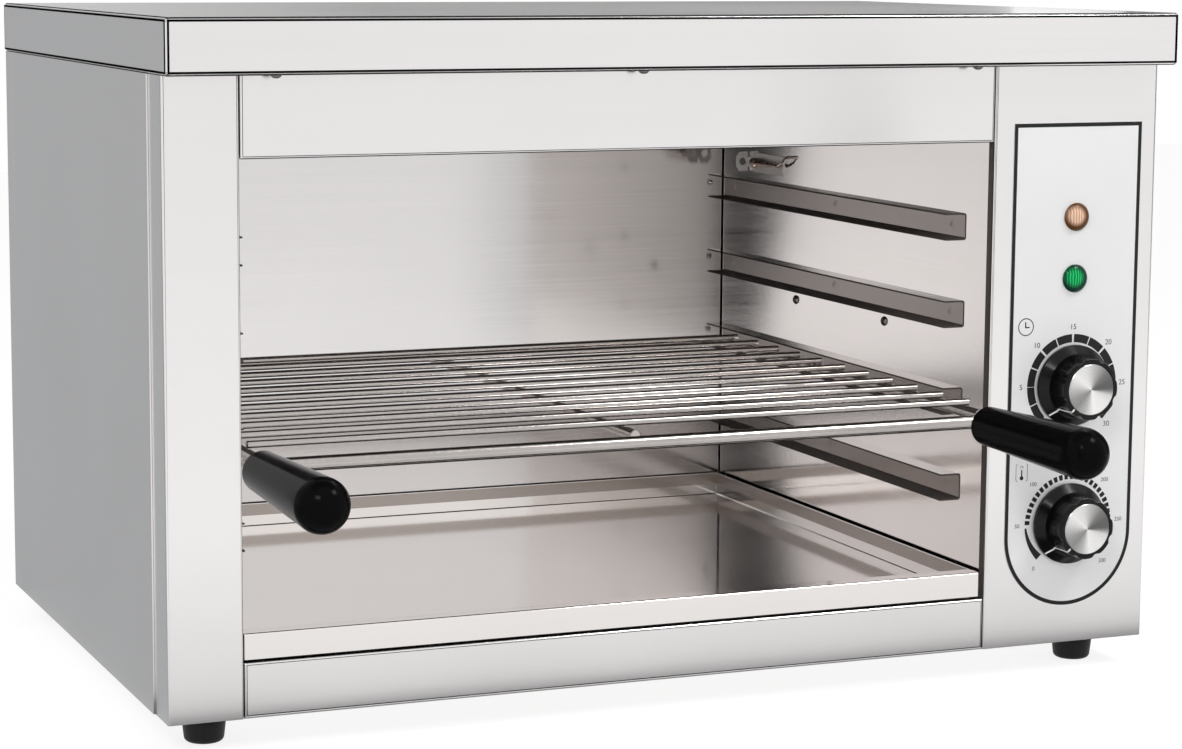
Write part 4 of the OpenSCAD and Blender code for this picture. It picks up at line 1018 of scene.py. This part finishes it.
def add_pointer(shape, centre, height):
    """White line over the skirt's bevel, up the grip's side and over its rim."""
    turn = math.radians(90.0 - POINTER_ANGLE)
    out, across = Vector((math.cos(turn), 0, math.sin(turn))), Vector((-math.sin(turn), 0, math.cos(turn)))
    route = [centre + out * radius - Vector((0, level, 0)) for radius, level in (
        (SKIRT_R - 0.2, SKIRT_EDGE + 0.2), (GRIP_R + 1.3, SHOULDER + 0.05), (GRIP_R + 0.05, SHOULDER + 0.1),
        (GRIP_R + 0.05, height - 0.6), (GRIP_R - 0.8, height + 0.02), (GRIP_R - 2.6, height + 0.02))]
    for first, second in zip(route, route[1:]):
        shape.bar(first, second, across, POINTER_WIDTH, 0.16, 1)


def make_cap(node, body):
    low, high = corners(node)
    centre = middle(node)
    radius, thick = (high.x - low.x) / 2, high.y - low.y
    shape = Shape()
    shape.turn([(0, 0), (radius - 0.2, 0), (radius, 0.2), (radius, thick - 0.4), (radius - 0.4, thick),
                (radius / 2, thick), (0.3, thick), (0, thick)], (centre.x, high.y, centre.z), (0, -1, 0), 96)
    # Spun cap, with a painted reflection of pale and dark sectors in its colour
    spun_metal(node + "_spun_painted_reflection", (0.86, 0.85, 0.84), (centre.x, 0, centre.z))
    shape.piece(node + "_disc", node + "_spun_painted_reflection", node, slot="cap_aluminium", body=body, edge=0)


def make_lamp(node, core, glow, rim, *nodes):
    """Domed lens with its rim tinted dark as painted shade, over the lens and what else it replaces."""
    lens_low, lens_high = corners(node)
    bezel_low, bezel_high = corners("lamp_bezels")
    radius = (bezel_high.x - bezel_low.x) / 2 + 0.7
    dome, foot = radius - 0.5, 0.9
    face, proud = bezel_high.y, bezel_high.y - lens_low.y
    centre = middle(node)
    profile = [(0, 0), (radius - 0.15, 0), (radius, 0.15), (radius, 0.55), (radius - 0.25, foot)]
    profile += oval((0, foot), (dome, proud - foot), range(6, 90, 6)) + [(0, proud)]
    shape = Shape()
    shape.turn(profile, (centre.x, face, centre.z), (0, -1, 0), 64)
    shape.rod((centre.x, face, centre.z), (centre.x, lens_high.y, centre.z), dome - 2.5, 0.4, 32)
    tint = "lens_" + node.removesuffix("_lens")
    lens_plastic(tint, core, glow, rim, centre, radius)
    shape.piece(node + "_dome", tint, node, *nodes, edge=0)


def make_controls():
    make_plate()
    make_knob("timer_knob", "timer_control")
    make_knob("thermostat_knob", "thermostat_control")
    # Lens tints: the colour, the pale ribs painted as light, and the dark rim painted as shade
    make_lamp("amber_lens", (0.56, 0.32, 0.20), (0.84, 0.62, 0.48), (0.10, 0.035, 0.008), "lamp_bezels")
    make_lamp("green_lens", (0.0, 0.16, 0.04), (0.01, 0.60, 0.16), (0.0, 0.035, 0.018))


# ---- Control plate and its print ----

BORDER = 2.3
SHAFT_HOLE = 5.1


def plate_outline(low, high, inset=0.0, steps=48):
    """Square shoulders at the top and a half circle at the bottom, counter-clockwise."""
    x, half = (low.x + high.x) / 2, (high.x - low.x) / 2
    level, r = low.z + half, half - inset
    return [(x + r, level), (x + r, high.z - inset), (x - r, high.z - inset), (x - r, level),
            *oval((x, level), (r, r), [180.0 + 180.0 * k / steps for k in range(1, steps)])]


def clockwise(centre, radius, angles):
    """Points on a circle, at angles in degrees that run clockwise from the top."""
    return oval(centre, (radius, radius), [90.0 - a for a in angles])


def sector(centre, inner, outer, start, end, steps=None):
    """Piece of a ring; its angles run clockwise from the top, in degrees."""
    count = steps or max(2, int(abs(end - start) / 3))
    angles = [start + (end - start) * k / count for k in range(count + 1)]
    return clockwise(centre, outer, angles) + clockwise(centre, inner, angles[::-1])


def stroke(start, end, width):
    a, b = Vector(start), Vector(end)
    side = (b - a).orthogonal().normalized() * width / 2
    return [a + side, a - side, b - side, b + side]


def lettering(shape, text, size, centre, face, index):
    """Plain characters, raised by the thickness of the ink."""
    curve = bpy.data.curves.new("text", "FONT")
    curve.body = text
    curve.size = size
    curve.align_x = curve.align_y = "CENTER"
    curve.extrude = INK / 2
    item = link_object("text", curve)
    graph = bpy.context.evaluated_depsgraph_get()
    mesh = bpy.data.meshes.new_from_object(item.evaluated_get(graph))
    bpy.data.objects.remove(item)
    bpy.data.curves.remove(curve)
    bm = bmesh.new()
    bm.from_mesh(mesh)
    bpy.data.meshes.remove(mesh)
    bmesh.ops.remove_doubles(bm, verts=bm.verts[:], dist=1e-4)
    for one in bm.faces:
        one.material_index = index
    move = Matrix.Translation((centre[0], face - INK / 2, centre[1]))
    shape.merge(bm, move @ Matrix.Rotation(math.pi / 2, 4, "X"))


def make_plate():
    low, high = corners("control_plate")
    face = low.y
    cutter = Shape()
    timer, heat = ((c.x, c.z) for c in map(middle, ("timer_knob", "thermostat_knob")))
    for x, z in (timer, heat):
        cutter.rod((x, face - 2, z), (x, high.y + 2, z), SHAFT_HOLE, 0.1, 32)
    shape = Shape()
    shape.prism(plate_outline(low, high), "y", face, high.y)
    shape.piece("control_plate_film", "plate_film", "control_plate", edge=0.08, cutter=cutter)

    shape = Shape()
    layer = ("y", face - INK, face)
    shape.frame(plate_outline(low, high), plate_outline(low, high, BORDER), *layer)
    add_timer_scale(shape, timer, layer)
    add_heat_scale(shape, heat, layer)
    add_clock(shape, (215.0, 208.0), layer)
    add_thermometer(shape, (214.7, 122.0), layer)
    shape.piece("control_plate_print", "print_ink print_ink_fine", slot="plate_film", edge=0)


SCALE_START, NUMBER_STEP = -135.0, 45.0    # degrees, clockwise from the top


def add_numbers(shape, centre, texts, radius, size, face):
    for text, angle in texts:
        lettering(shape, text, size, clockwise(centre, radius, [angle])[0], face, 1)


def add_timer_scale(shape, centre, layer):
    """Twelve segments over thirty minutes; the gaps at 10, 15 and 20 are wide."""
    step, inner, outer = 22.5, 25.3, 30.2
    wide, plain, narrow = 1.3, 0.7, 0.25
    gaps = dict.fromkeys((0.0, 45.0), wide) | dict.fromkeys((90.0, 135.0), narrow)
    for k in range(12):
        start, end = SCALE_START + k * step, SCALE_START + (k + 1) * step
        first, last = (gaps.get(abs(edge), plain) for edge in (start, end))
        shape.prism(sector(centre, inner, outer, start + first, end - last), *layer)
    texts = [(str(5 * i), SCALE_START + NUMBER_STEP * i) for i in range(7)]
    add_numbers(shape, centre, texts, 34.4, 4.5, layer[2])


def add_heat_scale(shape, centre, layer):
    """Short marks from 50 to 300 and a band that narrows from 50 to zero."""
    inner, outer, marks, pitch, width = 26.2, 29.4, 30, 7.5, 5.0
    for k in range(marks):
        start = -89.0 + pitch * k
        shape.prism(sector(centre, inner, outer, start, start + width, 2), *layer)
    steps, span = 12, 42.0
    angles = [SCALE_START + span * k / steps for k in range(steps + 1)]
    band = clockwise(centre, outer, angles)
    for k in range(steps, -1, -1):
        band += clockwise(centre, inner - 1.2 + (outer - inner) * k / steps, [angles[k]])
    shape.prism(band, *layer)
    texts = [("0", SCALE_START - 4.0)] + [(str(50 * i), SCALE_START + NUMBER_STEP * i) for i in range(1, 7)]
    add_numbers(shape, centre, texts, 34.6, 3.4, layer[2])


def add_clock(shape, centre, layer):
    x, z = centre
    shape.frame(circle(centre, 5.25, 48), circle(centre, 4.65, 48), *layer)
    shape.prism(stroke((x - 0.25, z - 0.65), (x - 0.25, z + 2.9), 0.8), *layer)
    shape.prism(stroke((x + 0.15, z - 0.3), (x + 2.4, z - 0.3), 0.7), *layer)


def add_thermometer(shape, centre, layer):
    """Stem and bulb between two brackets."""
    x, z = centre
    shape.prism(stroke((x, z - 2.4), (x, z + 1.7), 0.8), *layer)
    shape.prism(circle((x, z - 3.3), 1.25, 20), *layer)
    shape.prism(sector((x, z + 3.0), 0.75, 1.05, -120, 120), *layer, 1)
    for side, ends in ((-1, ((-1, 180), (1, 270))), (1, ((-1, 90), (1, 0)))):
        for end, start in ends:
            shape.prism(sector((x + side * 2.9, z + end * 4.1), 0.8, 1.1, start, start + 90), *layer, 1)
        edge = x + side * 3.85
        shape.prism(stroke((edge, z - 4.1), (edge, z + 4.1), 0.3), *layer, 1)


# ---- Carried-over CAD nodes ----

DRESSED = {
    "plain_steel": "base_pan element_hangers terminal_bracket",
    "fastener_steel": "foot_screws timer_shaft thermostat_shaft",
    "ceiling_painted_shade": "chamber_ceiling",
    "chamber_grain_x": "chamber_floor",
    "chamber_grain_y_painted_light": "chamber_left_wall chamber_right_wall",
    "insulation_wool": "insulation_mat",
    "nut_brass": "element_nuts",
    "ceramic_white": "terminal_block",
    "wire_insulation": "wiring",
    "switch_case": "timer_switch thermostat_switch",
    "bezel_black": "lamp_sockets",
}


def dress_nodes():
    for key, nodes in DRESSED.items():
        for node in nodes.split():
            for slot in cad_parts[node].material_slots:
                slot.material = MATERIALS[key]


# ---- Studio ----

AMBIENT = 0.55
FLOOR_SIZE, FLOOR_GLOW, FLOOR_STRENGTH = 8.0, 0.72, 1.15


def seen_directly(tree):
    """1 for camera, glossy and transmission rays, 0 for the rest."""
    path = tree.nodes.new("ShaderNodeLightPath").outputs
    first = maths(tree, "MAXIMUM", path["Is Camera Ray"], path["Is Glossy Ray"])
    return maths(tree, "MAXIMUM", first, path["Is Transmission Ray"])


def make_world():
    """Plain white to look at, and a softer light on the object."""
    world = bpy.data.worlds.new("studio")
    bpy.context.scene.world = world
    world.use_nodes = True
    tree = world.node_tree
    tree.nodes.clear()
    light, white = (add(tree, "Background", {"Color": (1, 1, 1, 1), "Strength": s}) for s in (AMBIENT, 1.0))
    add_output(tree, "OutputWorld", add(tree, "MixShader", {0: seen_directly(tree), 1: light, 2: white}))


def add_output(tree, kind, shader):
    feed(tree, tree.nodes.new("ShaderNode" + kind), {0: shader})


def flat_piece(name, points, key):
    """Four-sided face of the studio."""
    mesh = bpy.data.meshes.new(name)
    mesh.from_pydata(points, [], [(0, 1, 2, 3)])
    mesh.materials.append(MATERIALS[key])
    item = link_object(name, mesh)
    return item


def make_floor():
    """White floor that keeps the object's shadow."""
    tree, bsdf = new_material("floor_white")
    feed(tree, bsdf, {"Base Color": (0.9, 0.9, 0.9, 1), "Roughness": 0.9, "Specular IOR Level": 0.0})
    glow = add(tree, "Emission", {"Strength": FLOOR_STRENGTH})
    share = maths(tree, "MULTIPLY", seen_directly(tree), FLOOR_GLOW)
    mix = add(tree, "MixShader", {0: share, 1: bsdf.outputs[0], 2: glow})
    feed(tree, tree.nodes["Material Output"], {0: mix})
    half = FLOOR_SIZE / 2
    flat_piece("floor", [(-half, -half, 0), (half, -half, 0), (half, half, 0), (-half, half, 0)],
               "floor_white")


def make_card(name, points, first, last):
    """Studio card that only shows in reflections; its tone runs from the first edge to the opposite one."""
    tree, bsdf = new_material(name)
    tree.nodes.remove(bsdf)
    colour = add(tree, "VertexColor", {}, layer_name="tone")
    feed(tree, tree.nodes["Material Output"], {0: add(tree, "Emission", {"Color": colour})})
    card = flat_piece(name, points, name)
    tone = card.data.color_attributes.new("tone", "FLOAT_COLOR", "POINT")
    for value, grey_tone in zip(tone.data, (first, last, last, first)):
        value.color = (*grey_tone, 1.0)
    card.visible_camera = False
    card.visible_diffuse = False
    card.visible_transmission = False
    card.visible_shadow = False


def make_cards():
    def upright(name, first, last, z1, tones):
        """Wall from one point on the floor to another."""
        make_card(name, [(*first, 0.0), (*last, 0.0), (*last, z1), (*first, z1)], *tones)

    def lying(name, x, y, tones, z=0.002):
        """Patch on the floor, graded along Y."""
        make_card(name, [(x[1], y[0], z), (x[1], y[1], z), (x[0], y[1], z), (x[0], y[0], z)], *tones)

    side = grey(0.46, -0.02)
    # Behind the object to the left, and the floor there: mirrored in the left side
    upright("card_rear_left", (-2.4, 2.2), (-0.3, 2.2), 1.6, (side, side))
    lying("card_floor_left", (-2.4, -0.31), (-0.2, 2.2), (side, side))
    # Behind the object to the right: mirrored in the cover's top
    upright("card_rear_middle", (-0.3, 2.2), (0.6, 2.2), 1.6, (grey(0.88), grey(0.36)))
    upright("card_rear_right", (0.6, 2.2), (1.6, 2.2), 1.6, (grey(0.34), grey(0.30)))
    lying("card_floor_rear", (-0.31, 1.5), (0.3, 2.2), (grey(0.5), grey(0.5)))
    # The floor in front: a painted shadow close to the object, bright farther out
    lying("card_floor_front_painted_shadow", (-0.33, 0.42), (-0.135, -0.20), (grey(0.03), grey(0.06)))
    lying("card_floor_ahead", (-0.5, 1.2), (-0.20, -0.85), (grey(0.87), grey(1.2)))
    # Ahead to the right, low: the back wall darkens gently before the right wall's mirror image begins
    upright("card_ahead_right", (0.42, -0.9), (0.56, -0.9), 0.262, (grey(1.0), grey(0.5)))
    # Far to the right: the dark line on the right-hand folds
    upright("card_right", (1.6, -0.1), (1.6, 1.9), 1.5, (grey(0.05), grey(0.2)))
    # Overhead: the dark line on the folds that face upwards
    make_card("card_top", [(-1.6, -0.5, 2.4), (1.6, -0.5, 2.4), (1.6, 0.8, 2.4), (-1.6, 0.8, 2.4)],
              grey(0.05), grey(0.05))
    # Ahead and to the left: mirrored twice, dark in the rear right corner of the chamber, then paler
    side_x, near_top, near_foot, between, far, height = -0.25, -0.37, -0.61, -0.71, -1.6, 0.34
    make_card("card_corner", [(side_x, near_foot, 0), (side_x, between, 0), (side_x, between, 2 * height),
                              (side_x, near_top, 2 * height)], grey(0.0), grey(0.02))
    upright("card_corner_far", (side_x, between), (side_x, far), height, (grey(0.36, 0.03), grey(0.86, 0.02)))


def make_softbox(name, place_m, aim_m, size, power):
    data = bpy.data.lights.new(name, "AREA")
    data.shape = "RECTANGLE"
    data.size, data.size_y = size
    data.energy = power
    light = link_object(name, data)
    light.location = place_m
    light.rotation_euler = (Vector(aim_m) - Vector(place_m)).to_track_quat("-Z", "Y").to_euler()


def make_studio():
    bpy.context.scene.view_settings.view_transform = "Standard"
    make_world()
    make_floor()
    make_cards()
    make_softbox("key", (-1.3, -1.7, 1.7), (0, 0, 0.2), (0.8, 0.5), 20)
    make_softbox("fill", (0.8, -0.8, 1.4), (0, 0, 0.15), (0.45, 0.35), 10)


# ---- Assembly ----

make_camera()
make_materials()
make_casing()
make_screws()
make_feet()
make_gland()
make_back_wall()
make_rails()
make_tray()
make_elements()
make_bulb()
make_rack()
make_handles()
make_controls()
dress_nodes()
make_studio()
